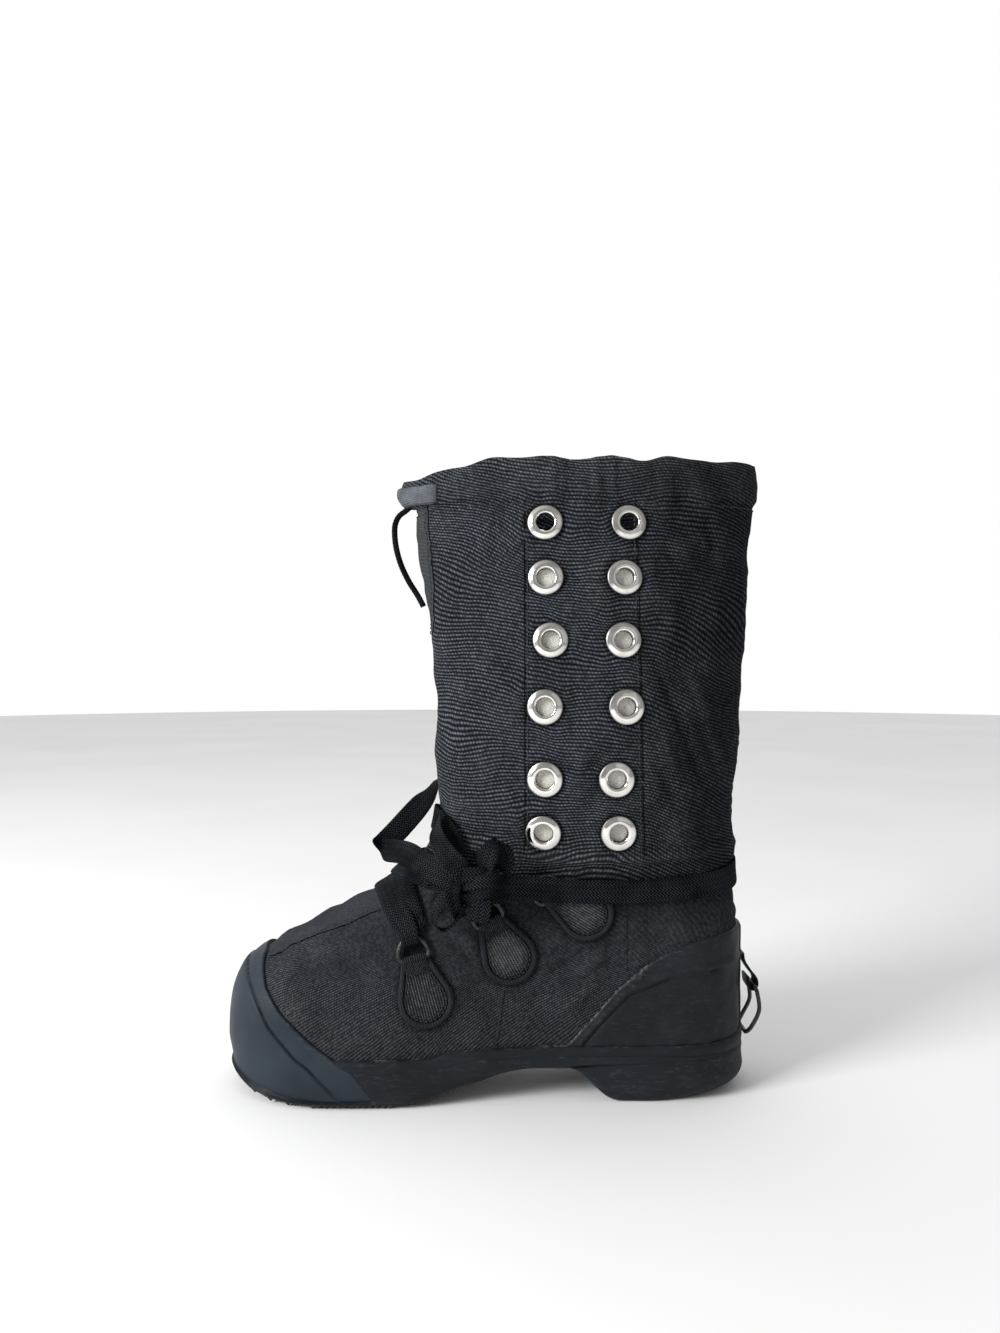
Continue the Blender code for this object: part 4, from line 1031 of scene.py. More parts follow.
def canvas_finish():
    """Bold ribs on the shaft, fine twill on the foot, each rib beaded by the yarn that crosses it."""
    f = Finish("ribbed canvas", 0.92, specular_ior_level=0.04)
    tint = tuple(colours().canvas)
    slub, patch, fibre = f.noise(1.9 * MM, 2), f.noise(32 * MM, 3), f.noise(0.5 * MM, 2, 0.6)
    # The yarns' crowns are painted lighter and the gaps between them darker: painted highlight and shade of
    # the ribs and beads.
    bead = f.math("MULTIPLY_ADD", f.wave(f.value("weft")), 0.7, 0.3)
    yarn = f.times(f.math("POWER", f.wave(f.value("rib")), 1.8), bead)
    lit = f.times(yarn, f.ramp(slub, 0.32, 0.68, 0.35, 1.0))
    bold = f.shades(lit, tint, 0.16, 6.6)
    fine = f.shades(lit, tint, 0.3, 4.5)
    colour = f.mix(f.value("fine"), bold, fine)
    smooth = f.math("MAXIMUM", f.value("gusset"), f.value("strip"))
    colour = f.mix(f.times(smooth, 0.55), colour, tuple(1.45 * c for c in tint))
    colour = f.mix(f.times(f.value("gusset"), 0.6), colour, (0.047, 0.052, 0.050))
    colour = f.scaled(colour, f.ramp(patch, 0.3, 0.7, 0.86, 1.14))
    # Painted shade: the cloth darkened by its shade values.
    colour = f.scaled(colour, f.math("SUBTRACT", 1.0, f.value("shade"), clamp=True))
    rubbed = f.shades(lit, colours().canvas_worn, 0.45, 2.6)
    worn = f.times(f.value("wear"), f.ramp(slub, 0.3, 0.7, 0.6, 1.0), clamp=True)
    colour = f.mix(worn, colour, rubbed)
    dust = f.times(f.value("dust"), f.ramp(f.noise(1.6 * MM, 4, 0.7), 0.35, 0.72), clamp=True)
    colour = f.mix(dust, colour, tuple(colours().dust))
    height = f.plus(f.times(yarn, 0.8), f.times(fibre, 0.3))
    return f.finish(colour, f.ramp(fibre, 0.2, 0.8, 0.84, 0.98), height, 0.00035, 0.7)


def rubber_finish(name, tint, dusty=1.0):
    """Matt moulded rubber, clouded and rubbed, with scuffs, painted shade lines in grooves and at edges, and
    a trace of glue.
    """
    f = Finish(name, 0.55, specular_ior_level=0.14)
    tint = tuple(tint)
    grain, cloud = f.noise(0.7 * MM, 3, 0.6), f.noise(34 * MM, 3)
    streak = f.noise(15 * MM, 4, 0.55, (1.0, 0.6, 1.0))
    colour = f.shades(f.ramp(cloud, 0.3, 0.72), tint, 0.82, 1.22)
    rubbed = f.times(f.ramp(streak, 0.5, 0.8), 0.22 * dusty)
    colour = f.mix(rubbed, colour, (0.045, 0.050, 0.056))
    scrape = f.value("scuff")
    scuffs = f.times(scrape, f.ramp(f.noise(3 * MM, 5, 0.75, (1.0, 0.4, 1.6)), 0.5, 0.68), clamp=True)
    colour = f.mix(scuffs, colour, (0.070, 0.076, 0.082))
    # Painted shade: the line values darken grooves, steps and edges nearly to black.
    colour = f.mix(f.times(f.value("line"), 0.85), colour, (0.006, 0.007, 0.009))
    glue = f.times(f.value("glue"), f.ramp(f.noise(2.2 * MM, 4, 0.7), 0.45, 0.58), clamp=True)
    colour = f.mix(glue, colour, (0.17, 0.18, 0.19))
    rough = f.plus(f.ramp(cloud, 0.3, 0.7, 0.44, 0.60), f.times(rubbed, 0.5))
    height = f.plus(f.times(grain, 0.3), f.times(streak, 0.6))
    return f.finish(colour, rough, height, 0.00012, 0.4)


def tread_finish():
    f = Finish("tread rubber", 0.8, specular_ior_level=0.3)
    grit, cloud = f.noise(0.9 * MM, 4, 0.7), f.noise(14 * MM, 3)
    colour = f.mix(f.ramp(cloud, 0.3, 0.7), (0.020, 0.019, 0.018), (0.050, 0.045, 0.040))
    colour = f.mix(f.ramp(grit, 0.52, 0.66, 0.0, 0.6), colour, (0.11, 0.10, 0.088))
    return f.finish(colour, f.ramp(grit, 0.3, 0.7, 0.7, 0.95), grit, 0.0003, 0.6)


def felt_finish():
    f = Finish("grey felt", 0.96, specular_ior_level=0.1)
    tint = tuple(colours().felt)
    fibre, cloud = f.noise(0.6 * MM, 4, 0.7, (1.0, 1.0, 0.4)), f.noise(12 * MM, 3)
    pill = f.noise(2.4 * MM, 3)
    colour = f.shades(f.ramp(fibre, 0.3, 0.7), tint, 0.78, 1.15)
    colour = f.scaled(colour, f.ramp(cloud, 0.3, 0.7, 0.88, 1.08))
    return f.finish(colour, None, f.plus(fibre, pill), 0.0005, 0.7)


def nickel_finish():
    f = Finish("bright nickel", 0.2, 1.0)
    fine, cloud = f.noise(0.8 * MM, 4, 0.65), f.noise(5 * MM, 3)
    colour = f.mix(f.ramp(cloud, 0.35, 0.7), (0.88, 0.87, 0.83), (0.74, 0.72, 0.67))
    # Darker and rougher at the rim and in the barrel: dirt, and painted shade.
    dirt_and_shade = f.times(f.value("line"), f.ramp(fine, 0.2, 0.7, 0.9, 1.0))
    colour = f.mix(dirt_and_shade, colour, (0.05, 0.048, 0.045))
    rough = f.plus(f.ramp(fine, 0.35, 0.7, 0.09, 0.15), f.times(f.value("line"), 0.4))
    return f.finish(colour, rough, cloud, 0.00004, 0.2)


def wire_finish():
    f = Finish("black wire", 0.36, 0.55)
    chips, cloud = f.noise(1.1 * MM, 4, 0.7), f.noise(6 * MM, 3)
    colour = f.mix(f.ramp(cloud, 0.3, 0.7), (0.020, 0.020, 0.022), (0.040, 0.040, 0.042))
    colour = f.mix(f.ramp(chips, 0.6, 0.68), colour, (0.28, 0.29, 0.30))
    return f.finish(colour, f.ramp(chips, 0.3, 0.7, 0.28, 0.5), chips, 0.0001, 0.3)


def tape_finish(name, tint, rib=2.1 * MM, lane=3.4 * MM):
    """Flat woven tape: yarns that slant both ways, in lanes along it."""
    f = Finish(name, 0.8, specular_ior_level=0.03)
    tint = tuple(tint)
    across, along = f.math("DIVIDE", f.value("across"), lane), f.math("DIVIDE", f.value("along"), rib)
    lean = f.math("PINGPONG", across, 0.5)
    yarn = f.wave(f.plus(along, f.times(lean, 2.4)))
    lanes = f.wave(across)
    fibre, cloud = f.noise(0.45 * MM, 3, 0.6), f.noise(18 * MM, 3)
    # The yarns' crowns are painted many times lighter than the gaps: painted highlight and shade of the
    # weave.
    lit = f.times(f.math("POWER", yarn, 1.8), f.math("MULTIPLY_ADD", lanes, 0.3, 0.7))
    colour = f.shades(lit, tint, 0.1, 17.0)
    colour = f.scaled(colour, f.ramp(cloud, 0.3, 0.7, 0.5, 1.5))
    # Painted shade: the tape darkened by its shade values.
    colour = f.scaled(colour, f.math("SUBTRACT", 1.0, f.value("shade"), clamp=True))
    dust = f.times(f.ramp(f.noise(5 * MM, 4, 0.7), 0.55, 0.75), 0.05)
    colour = f.mix(dust, colour, tuple(colours().dust))
    height = f.plus(lit, f.times(fibre, 0.4))
    return f.finish(colour, f.ramp(fibre, 0.2, 0.8, 0.7, 0.92), height, 0.0004, 0.8)


def thread_finish():
    f = Finish("black thread", 0.6, specular_ior_level=0.25)
    twist, cloud = f.noise(0.35 * MM, 2), f.noise(8 * MM, 2)
    colour = f.mix(f.ramp(cloud, 0.3, 0.7), (0.016, 0.018, 0.021), (0.040, 0.043, 0.048))
    return f.finish(colour, f.ramp(twist, 0.3, 0.7, 0.5, 0.7), twist, 0.0001, 0.5)


def seam_finish():
    """Painted shadow along a seam's folded-in edge: near-black, with a little light lint."""
    f = Finish("seam shadow", 0.95, specular_ior_level=0.05)
    lint, cloud = f.noise(0.5 * MM, 3), f.noise(7 * MM, 2)
    colour = f.mix(f.ramp(cloud, 0.3, 0.7), (0.003, 0.0033, 0.004), (0.007, 0.0075, 0.009))
    colour = f.mix(f.ramp(lint, 0.6, 0.75, 0.0, 0.5), colour, (0.03, 0.031, 0.034))
    return f.finish(colour, None, lint, 0.0001, 0.5)


def binding_finish():
    f = Finish("grey binding", 0.95, specular_ior_level=0.1)
    tint = tuple(colours().binding)
    warp = f.wave(f.math("DIVIDE", f.value("across"), 0.9 * MM))
    weft = f.wave(f.math("DIVIDE", f.value("along"), 1.1 * MM))
    fray, cloud = f.noise(0.6 * MM, 3, 0.7), f.noise(6 * MM, 3)
    lit = f.times(f.math("MAXIMUM", warp, weft), f.ramp(fray, 0.3, 0.7, 0.5, 1.0))
    colour = f.shades(lit, tint, 0.3, 1.6)
    colour = f.scaled(colour, f.ramp(cloud, 0.3, 0.7, 0.75, 1.15))
    colour = f.mix(f.value("line"), colour, (0.012, 0.013, 0.015))
    return f.finish(colour, None, lit, 0.0003, 0.7)


MAKERS = {
    "ribbed canvas": canvas_finish,
    "moulded rubber": lambda: rubber_finish("moulded rubber", colours().rubber),
    "toe rubber": lambda: rubber_finish("toe rubber", colours().toe_rubber, 1.3),
    "tread rubber": tread_finish,
    "grey felt": felt_finish,
    "bright nickel": nickel_finish,
    "black wire": wire_finish,
    "woven lace": lambda: tape_finish("woven lace", colours().lace),
    "braided cord": lambda: tape_finish("braided cord", colours().lace, 2.4 * MM, 1.8 * MM),
    "black thread": thread_finish,
    "seam shadow": seam_finish,
    "grey binding": binding_finish,
}


def finish_of(name):
    return bpy.data.materials.get(name) or MAKERS[name]()


# ---------------------------------------------------------------- upper, lining and footbed
ANKLE_SEAM = [(-155, 139), (-130, 130), (-95, 124), (60, 124)]
GUSSET_EDGE = [(268, -139.5), (302, -140), (326, -141.5), (347, -143)]
# How the ribs stray: by so many millimetres, over patches of so many, with the seed of the noise.
RIB_STRAYS = [(2.6, 85, 21), (0.6, 34, 22), (0.13, 11, 25)]
TWILL_LEAN = math.radians(36)
# Spots of the side view: the middle along and up, then the half size along and up.
DUST_SPOT = (-219, 52, 6, 7)
# The second spot is painted shadow on the canvas inside the hanging lace loop.
HANGING_LOOP_SHADOW = (-135.3, 112.7, 5.2, 7.8)
# The canvas's rows, from a height to a height with a step, and the closer rows of the casing.
UPPER_ROWS = [(27.6, 60, 2.4), (60, 165, 1.5), (165, 340, 1.9)]
CASING_ROWS = (340, 370, 27)
# The footbed's side from its foot to its top: how far in and how high. Its middle dips.
FOOTBED_SIDE = [(3.6, 0.0), (3.0, 0.6), (3.0, 3.0), (3.7, 3.9)]
FOOTBED_DIP = 1.2 * MM


def gone_over(grid, axis):
    """How far each point of a grid lies along its column (axis 0) or its row (axis 1)."""
    steps = np.cumsum(np.linalg.norm(np.diff(grid, axis=axis), axis=2), axis)
    start = np.zeros_like(steps[:1] if axis == 0 else steps[:, :1])
    return np.concatenate([start, steps], axis)


def soft_ramp(distance, width):
    """Nought before a place and the distance after it, with a soft start."""
    return (np.hypot(distance, width) + distance) / 2


def spot_measure(spot, y, z):
    """Nought in the middle of a spot and one at its edge, growing with the square."""
    along, height, half_along, half_height = (value * MM for value in spot)
    return ((y - along) / half_along) ** 2 + ((z - height) / half_height) ** 2


def weave_of(grid, out, near, on_foot):
    """The phases of the ribs, level on the shaft and slanting on the foot, and of the yarns across them."""
    y, z = grid[..., 1], grid[..., 2]
    sizes = bpy.context.scene.boot_sizes
    around, up = gone_over(grid, 1), gone_over(grid, 0)
    shift = sum(amount * ripple(grid, size * MM, seed) for amount, size, seed in RIB_STRAYS)
    shift += 0.7 * hill(near - 14 * MM, 7 * MM) * ripple(grid, 18 * MM, 23)
    # The ribs slope more the higher they lie at the front, and the lower they lie at the back.
    bow = -(0.08 + 0.34 * smoothstep(200 * MM, 330 * MM, z)) * soft_ramp(-90 * MM - y, 12 * MM)
    bow += (0.12 + 0.3 * smoothstep(310 * MM, 240 * MM, z)) * soft_ramp(y + 22 * MM, 14 * MM)
    shaft = (z + shift * MM + 0.25 * out + bow) / sizes.rib_pitch
    foot = up * math.cos(TWILL_LEAN) - around * math.sin(TWILL_LEAN) + 0.3 * MM * ripple(grid, 18 * MM, 24)
    rib = np.where(on_foot, foot / sizes.twill_pitch, shaft)
    return rib, np.where(on_foot, (around + 0.5 * up) / (1.5 * MM), around / (2.1 * MM) + 0.5 * shaft)


def shade_of(y, z, near, on_foot, side):
    """Painted shade on the cloth: round grommets and tabs, by the ankle tape, on the shaft's rear and in the
    hanging loop.
    """
    over_seam = z - table_of(ANKLE_SEAM, y)
    shade = 0.75 * hill(near - 10.6 * MM, 1.1 * MM)
    for place in TAB_PLACES:
        shade += 0.6 * hill(np.maximum(tab_measure(place, y, z), 0), 2.0 * MM)
    shade += 0.45 * smoothstep(-6 * MM, 0, over_seam) * smoothstep(8 * MM, 0, over_seam)
    # The shaft's rear is painted darker: painted shade on the side turned from the light.
    shade += 0.55 * smoothstep(-50 * MM, 22 * MM, y) * (1 - on_foot)
    # The foot under the ankle tape: painted shadow of the tape and of the cloth blousing over it.
    shade += 0.45 * smoothstep(90 * MM, 116 * MM, z) * smoothstep(-118 * MM, -96 * MM, y) * on_foot
    return shade + np.exp(-(spot_measure(HANGING_LOOP_SHADOW, y, z) ** 2)) * (side > 0)


def upper_values(grid, out, side):
    """The weave's phases and the shares of wear, dust, painted shade, gusset and vamp strip at each point."""
    y, z = grid[..., 1], grid[..., 2]
    near, level = nearest_eyelet(grid), level_of(y, z)
    on_foot = z < table_of(ANKLE_SEAM, y)
    rib, weft = weave_of(grid, out, near, on_foot)
    strip = (y < -150 * MM) & (z > table_of(VAMP_SEAM, y) + 0.5 * MM)
    gusset = smoothstep(0.3 * MM, -0.3 * MM, y - table_of(GUSSET_EDGE, z))
    gusset *= smoothstep(262 * MM, 275 * MM, z) * smoothstep(348 * MM, 346 * MM, level)
    dusty = np.exp(-spot_measure(DUST_SPOT, y, z)) * (side > 0)
    dust = 0.20 * smoothstep(80 * MM, 36 * MM, z) + 0.55 * dusty + 0.07
    dust += 0.18 * (smoothstep(9 * MM, 1 * MM, y - cap_edge(z)) * (z < 90 * MM))
    wear = 0.22 * np.clip(out / (1.6 * MM), 0, 1) + 0.3 * smoothstep(365 * MM, COLLAR_TOP, level)
    for line in (PLACKET_FRONT, PLACKET_REAR):
        far, _, _ = from_line(line, y, z)
        wear += 0.10 * hill(far - 2.4 * MM, 1.0 * MM)
    shade = shade_of(y, z, near, on_foot, side)
    return {
        "rib": rib, "weft": weft, "fine": on_foot * 1.0, "gusset": gusset, "strip": strip * 1.0,
        "dust": np.clip(dust, 0, 1), "wear": wear, "shade": np.clip(shade, 0, 0.9),
    }  # fmt: skip


def side_of(grid):
    """One on the boot's outer side, minus one on the inner, nought on the middle line."""
    gap = grid[..., 0] - middle_line(grid[..., 1], grid[..., 2])
    return np.where(gap > 1e-7, 1.0, np.where(gap < -1e-7, -1.0, 0.0))


def form_grid(levels, count):
    """The form's rings at some levels, a row each."""
    return np.array([whole_ring(side_row(lambda y, n=n: level_height(n, y), count)) for n in levels])


def make_upper():
    """The hollow canvas upper, with its folds, seams, gathered casing and eyelet holes."""
    levels = np.concatenate([np.arange(*rows) for rows in UPPER_ROWS] + [np.linspace(*CASING_ROWS)]) * MM
    if len(levels) % 2 == 0:
        levels = np.delete(levels, 3)
    grid = form_grid(levels, 149)
    normal, side = normals_of(grid, True), side_of(grid)
    out = relief(grid, side)
    frill = 0.8 * MM * ripple(grid, 22 * MM, 31) * smoothstep(361 * MM, COLLAR_TOP, levels)[:, None]
    outer, inner = grid + normal * out[..., None], grid + normal * (out - CANVAS_WALL)[..., None]
    for wall in (outer, inner):
        wall[..., 2] += frill
    # The inner wall has every other row and column of the outer one.
    inner = inner[::2, ::2]
    rows, columns = grid.shape[:2]
    low_rows, low_columns = inner.shape[:2]
    count = rows * columns
    points = np.concatenate([outer.reshape(-1, 3), inner.reshape(-1, 3)])
    plain = np.concatenate([grid.reshape(-1, 3), grid[::2, ::2].reshape(-1, 3)])
    faces = grid_faces(rows, columns, 0, True) + grid_faces(low_rows, low_columns, count, True, True)
    corners = np.array(faces)
    middle = plain[corners].mean(axis=1)
    kept = corners[nearest_eyelet(middle) > EYELET_HOLE].tolist()
    last, low_last = count - columns, count + (low_rows - 1) * low_columns
    for base, low_base, flip in ((0, count, True), (last, low_last, False)):
        for k in range(low_columns):
            a, b, c = base + 2 * k, base + 2 * k + 1, base + (2 * k + 2) % columns
            i, j = low_base + k, low_base + (k + 1) % low_columns
            for face in ([a, b, i], [b, c, j, i]):
                kept.append(face[::-1] if flip else face)
    values = upper_values(grid, out, side)
    values = {k: np.concatenate([v.ravel(), v[::2, ::2].ravel()]) for k, v in values.items()}
    piece("canvas_upper", points, kept, finish_of("ribbed canvas"), "canvas", "upper", sharp=60, **values)


def make_lining():
    """The felt lining inside the canvas, up to just under the top eyelets, and the footbed."""
    grid = form_grid(np.linspace(33, 321, 74) * MM, 61)
    normal = normals_of(grid, True)
    out = relief(grid, side_of(grid), seams=False)
    soft = 0.25 * MM * ripple(grid, 9 * MM, 41)
    outer, inner = out - 2.4 * MM, out + soft - 4.2 * MM
    points, faces = plate(grid + normal * outer[..., None], grid + normal * inner[..., None], True)
    piece("felt_lining", points, faces, finish_of("grey felt"), "felt", sharp=60)
    outline = whole_ring(side_row(lambda y: rim_height(y) + GAP, 91))
    rings = []
    for inset, lift in FOOTBED_SIDE:
        ring = let_out(outline, -inset * MM)
        ring[:, 2] = rim_height(ring[:, 1]) + GAP + lift * MM
        rings.append(ring)
    bag = Bag().add(np.concatenate(rings), grid_faces(len(rings), len(outline), 0, True))
    floor_over(bag, rings[-1], 14, True, FOOTBED_DIP)
    floor_over(bag, rings[0], 2, False)
    bag.piece("footbed", finish_of("grey felt"), "felt", "insole", sharp=60)


def let_out(outline, flare):
    """An outline moved out sideways in plan."""
    around = np.roll(outline, -1, 0) - np.roll(outline, 1, 0)
    normal = np.stack([around[:, 1], -around[:, 0]], 1)
    normal /= np.linalg.norm(normal, axis=1, keepdims=True)
    out = outline.copy()
    out[:, :2] += normal * np.broadcast_to(flare, (len(outline),))[:, None]
    return out


def floor_over(bag, ring, columns, upwards, dip=0.0):
    """Closes a ring from its inner side to its outer one, with a dip along its middle."""
    half = len(ring) // 2
    outer = ring[: half + 1]
    inner = np.concatenate([ring[:1], ring[:half - 1 : -1]])[: half + 1]
    share = np.linspace(0, 1, columns + 1)
    grid = inner[:, None] * (1 - share[:, None]) + outer[:, None] * share[:, None]
    at_ends = np.sin(math.pi * np.linspace(0, 1, len(grid)))[:, None] ** 0.3
    grid[..., 2] -= dip * np.sin(math.pi * share) ** 0.6 * at_ends
    bag.add(grid.reshape(-1, 3), grid_faces(*grid.shape[:2], 0, False, upwards))


# ---------------------------------------------------------------- rubber
# The side band's rows, as shares of its height. The counter's rows end closer together at its edge.
BAND_SHARES = np.array([0, 0.05, 0.12, 0.3, 0.5, 0.7, 0.86, 0.93, 0.98, 1.0])
COUNTER_SHARES = np.concatenate([np.linspace(0, 0.9, 30), [0.93, 0.955, 0.975, 0.99, 1.0]])
# The counter starts here, and these are its thinnest and its thickest.
COUNTER_START, COUNTER_WALL = -60.5 * MM, (0.25, 3.4)
# The toe guard's outline stays level above this height and follows its foot below it.
CAP_LEVEL = 45 * MM
# The sole's side from its foot to the band: share of its height, how far out, and how scuffed.
SOLE_SIDE = [
    (0, 2.2, 0.2), (0.04, 2.9, 0.2), (0.12, 3.3, 0.2), (0.3, 3.4, 0.2), (0.5, 3.4, 0.2),
    (0.68, 3.35, 0.2), (0.8, 3.3, 0.2), (0.9, 3.3, 0.2), (0.97, 3.2, 0.45), (1, 3.0, 0.7),
]  # fmt: skip
TREAD_DEPTH, TOOTH_PITCH = 2.3 * MM, 3.6 * MM
# The heel's rows up its side, then its lip over the sole: share of the lip's height and how far out.
HEEL_ROWS = (0.0, 0.35, 0.9, 1.8, 3.2, 5, 7.5, 10, 12.5, 15, 17, 19, 20.2)
HEEL_LIP = [(0.3, 0.15), (0.6, 0.35), (0.85, 0.2), (1.0, -0.6)]


def band_profile(wall, top):
    """How thick the side band is in each of its rows, thinner by a share at its rounded top."""
    return wall * (1 - (1 - top) * np.clip((BAND_SHARES - 0.86) / 0.14, 0, 1) ** 2)[:, None]


def round_lip(far, radius):
    """Nought at an edge and one past a radius inside it, as a quarter round."""
    return np.sqrt(1 - (1 - np.clip(far / radius, 0, 1)) ** 2)


def make_toe_cap():
    """The toe's rubber guard: two layers, with a rounded rear edge over the canvas and the band."""

    def height_at(level):
        def height(y):
            share = np.clip(level / CAP_LEVEL, 0, 1)
            return np.where(level < CAP_LEVEL, (1 - share) * table_of(CAP_FOOT, y) + share * CAP_LEVEL, level)

        return height

    levels = [[0, 0.6, 1.4, 2.6, 4], np.arange(6, 45, 1.9), np.arange(45, 70, 1.5), np.arange(70, 78.7, 0.8)]
    levels = np.concatenate(levels)
    grid = np.array([front_arch(side_row(height_at(n * MM), 111, cap_edge, True)) for n in levels])
    y, z = grid[..., 1], grid[..., 2]
    edge_far, _, _ = from_line(CAP_EDGE, y, z)
    layer_far, _, layer_side = from_line(CAP_LAYER, y, z)
    lip = round_lip(edge_far, 1.5 * MM)
    inside = smoothstep(-0.3 * MM, 0.9 * MM, -layer_side * layer_far)
    foot_lip = np.clip(0.45 + levels / 2.6, 0, 1)[:, None]
    wall = (0.3 + 1.4 * lip + 0.5 * smoothstep(0, 14 * MM, edge_far) + 0.9 * inside) * foot_lip
    wall -= 0.55 * hill(layer_far, 0.7 * MM)
    wall += 0.10 * ripple(grid, 16 * MM, 51) * lip
    rubber_wall(
        "toe_guard", grid, normals_of(grid, False), wall, "toe rubber", "cap_rubber", "toe_cap",
        # line: painted shade along the step of the upper layer and at the rear edge.
        line=hill(layer_far, 0.55 * MM) + 0.7 * hill(edge_far, 0.4 * MM),
        scuff=0.5 * smoothstep(6 * MM, 0.5 * MM, edge_far) + 0.55 * smoothstep(-246 * MM, -258 * MM, y),
    )  # fmt: skip


def make_band():
    """The side band, from behind the toe guard round the heel to the toe guard again."""

    def height_at(share):
        return lambda y: (1 - share) * (rim_height(y) + 0.08 * MM) + share * band_top(y)

    rows = [side_row(height_at(s), 171, lambda z: cap_edge(z) + 0.1 * MM) for s in BAND_SHARES]
    grid = np.array([back_arch(row) for row in rows])
    y, share = grid[..., 1], BAND_SHARES[:, None]
    at_heel = smoothstep(-64 * MM, -48 * MM, y)
    wall = band_profile(2.9, 0.35) * (1 - at_heel) + band_profile(3.0, 0.86) * at_heel
    wall += 0.10 * ripple(grid, 20 * MM, 52) + 0.5 * at_heel * np.sin(math.pi * share)
    rubber_wall(
        "foxing_band", grid, normals_of(grid, False), wall, "moulded rubber", "sole_rubber", "side_band",
        scuff=0.5 * smoothstep(0.8, 1.0, share) + 0.12 + 0.2 * smoothstep(-150 * MM, -200 * MM, y),
        # line: painted shade in the groove where the band meets the sole.
        line=0.12 * smoothstep(0.06, 0.0, share) + 0 * y,
        glue=0.5 * smoothstep(0.95, 1.0, share) * smoothstep(0.4, 1.2, ripple(grid, 30 * MM, 53)),
    )  # fmt: skip


def make_counter():
    """The heel's rubber guard with its moulded rib, a strip down the back and glue along its edge."""

    def height_at(share):
        def height(y):
            low = band_top(y) + GAP
            return low + share * np.maximum(counter_height(y) - low, 0.1 * MM)

        return height

    rows = [side_row(height_at(s), 131, lambda z: COUNTER_START + 0 * z) for s in COUNTER_SHARES]
    grid = np.array([back_arch(row) for row in rows])
    x, y, z = grid[..., 0], grid[..., 1], grid[..., 2]
    edge_far, _, _ = from_line(COUNTER_EDGE, y, z)
    rib_far, _, rib_side = from_line(COUNTER_RIB, y, z)
    lip = round_lip(edge_far, 1.3 * MM)
    above = rib_side * rib_far
    wall = 0.3 + 1.5 * lip + 0.9 * hill(above - 1.4 * MM, 1.7 * MM)
    wall -= 0.75 * hill(above + 1.0 * MM, 0.8 * MM)
    strip = smoothstep(10.5 * MM, 9.3 * MM, np.abs(x)) * smoothstep(20 * MM, 28 * MM, y)
    wall = wall * (1 - 0.5 * strip) + 1.9 * strip * (0.4 + 0.6 * lip)
    wall += 0.14 * ripple(grid, 13 * MM, 54)
    lumps = hill(y + 20 * MM, 5 * MM) * smoothstep(7 * MM, 1 * MM, edge_far)
    wall += 0.6 * lumps * (1 + 0.5 * ripple(grid, 4 * MM, 55))
    strip_edge = hill(np.abs(x) - 10.2 * MM, 0.5 * MM) * (y > 20 * MM)
    rubber_wall(
        "counter_guard", grid, normals_of(grid, False), np.clip(wall, *COUNTER_WALL),
        "moulded rubber", "sole_rubber", "heel_counter",
        # line: painted shadow in the groove under the moulded rib and along the edges of the back strip.
        line=hill(above + 1.0 * MM, 0.7 * MM) + 0.8 * strip_edge,
        glue=0.55 * smoothstep(0.9 * MM, 0.1 * MM, edge_far) * smoothstep(0 * MM, -14 * MM, y),
        scuff=0.25 * smoothstep(8 * MM, 1 * MM, edge_far) + 0.15,
    )  # fmt: skip


def teeth(bag, row, y_low, y_high, margin, base_of, tip_of):
    """Blunt pyramids in rows, inside the sole's outline."""
    across = np.arange(-60, 60, TOOTH_PITCH / MM) * MM
    x, y = np.meshgrid(across, np.arange(y_low, y_high, TOOTH_PITCH), indexing="ij")
    middle, half = np.interp(y, row[2], row[0]), np.interp(y, row[2], row[1])
    inside = (np.abs(x - middle) < half - margin) & (half > margin)
    x, y = x[inside], y[inside]
    corner = np.array([(-1, -1), (1, -1), (1, 1), (-1, 1)]) * 0.5 * TOOTH_PITCH
    rings = []
    for size, height in ((0.96, base_of), (0.24, tip_of)):
        px, py = x[:, None] + corner[:, 0] * size, y[:, None] + corner[:, 1] * size
        rings.append(np.stack([px, py, height(py)], -1))
    points = np.concatenate(rings, 1)
    faces = []
    for k in range(len(points)):
        b = 8 * k
        faces += [[b + (i + 1) % 4, b + i, b + 4 + i, b + 4 + (i + 1) % 4] for i in range(4)]
        faces += [[b, b + 1, b + 2, b + 3], [b + 7, b + 6, b + 5, b + 4]]
    bag.add(points.reshape(-1, 3), faces)


def under_cap(row, height_of):
    """A row of the sole's side with one column moved on to the toe guard's rear edge, and its number."""
    middle, half, y, z = row
    start = -182 * MM
    edge = start
    for _ in range(30):
        edge = float(0.5 * edge + 0.5 * cap_edge(height_of(edge)))
    column = int(np.argmin(np.abs(y - start)))
    moved = y + (edge - y[column]) * hill(y - y[column], 15 * MM)
    return np.stack([np.interp(moved, y, middle), np.interp(moved, y, half), moved, z]), column


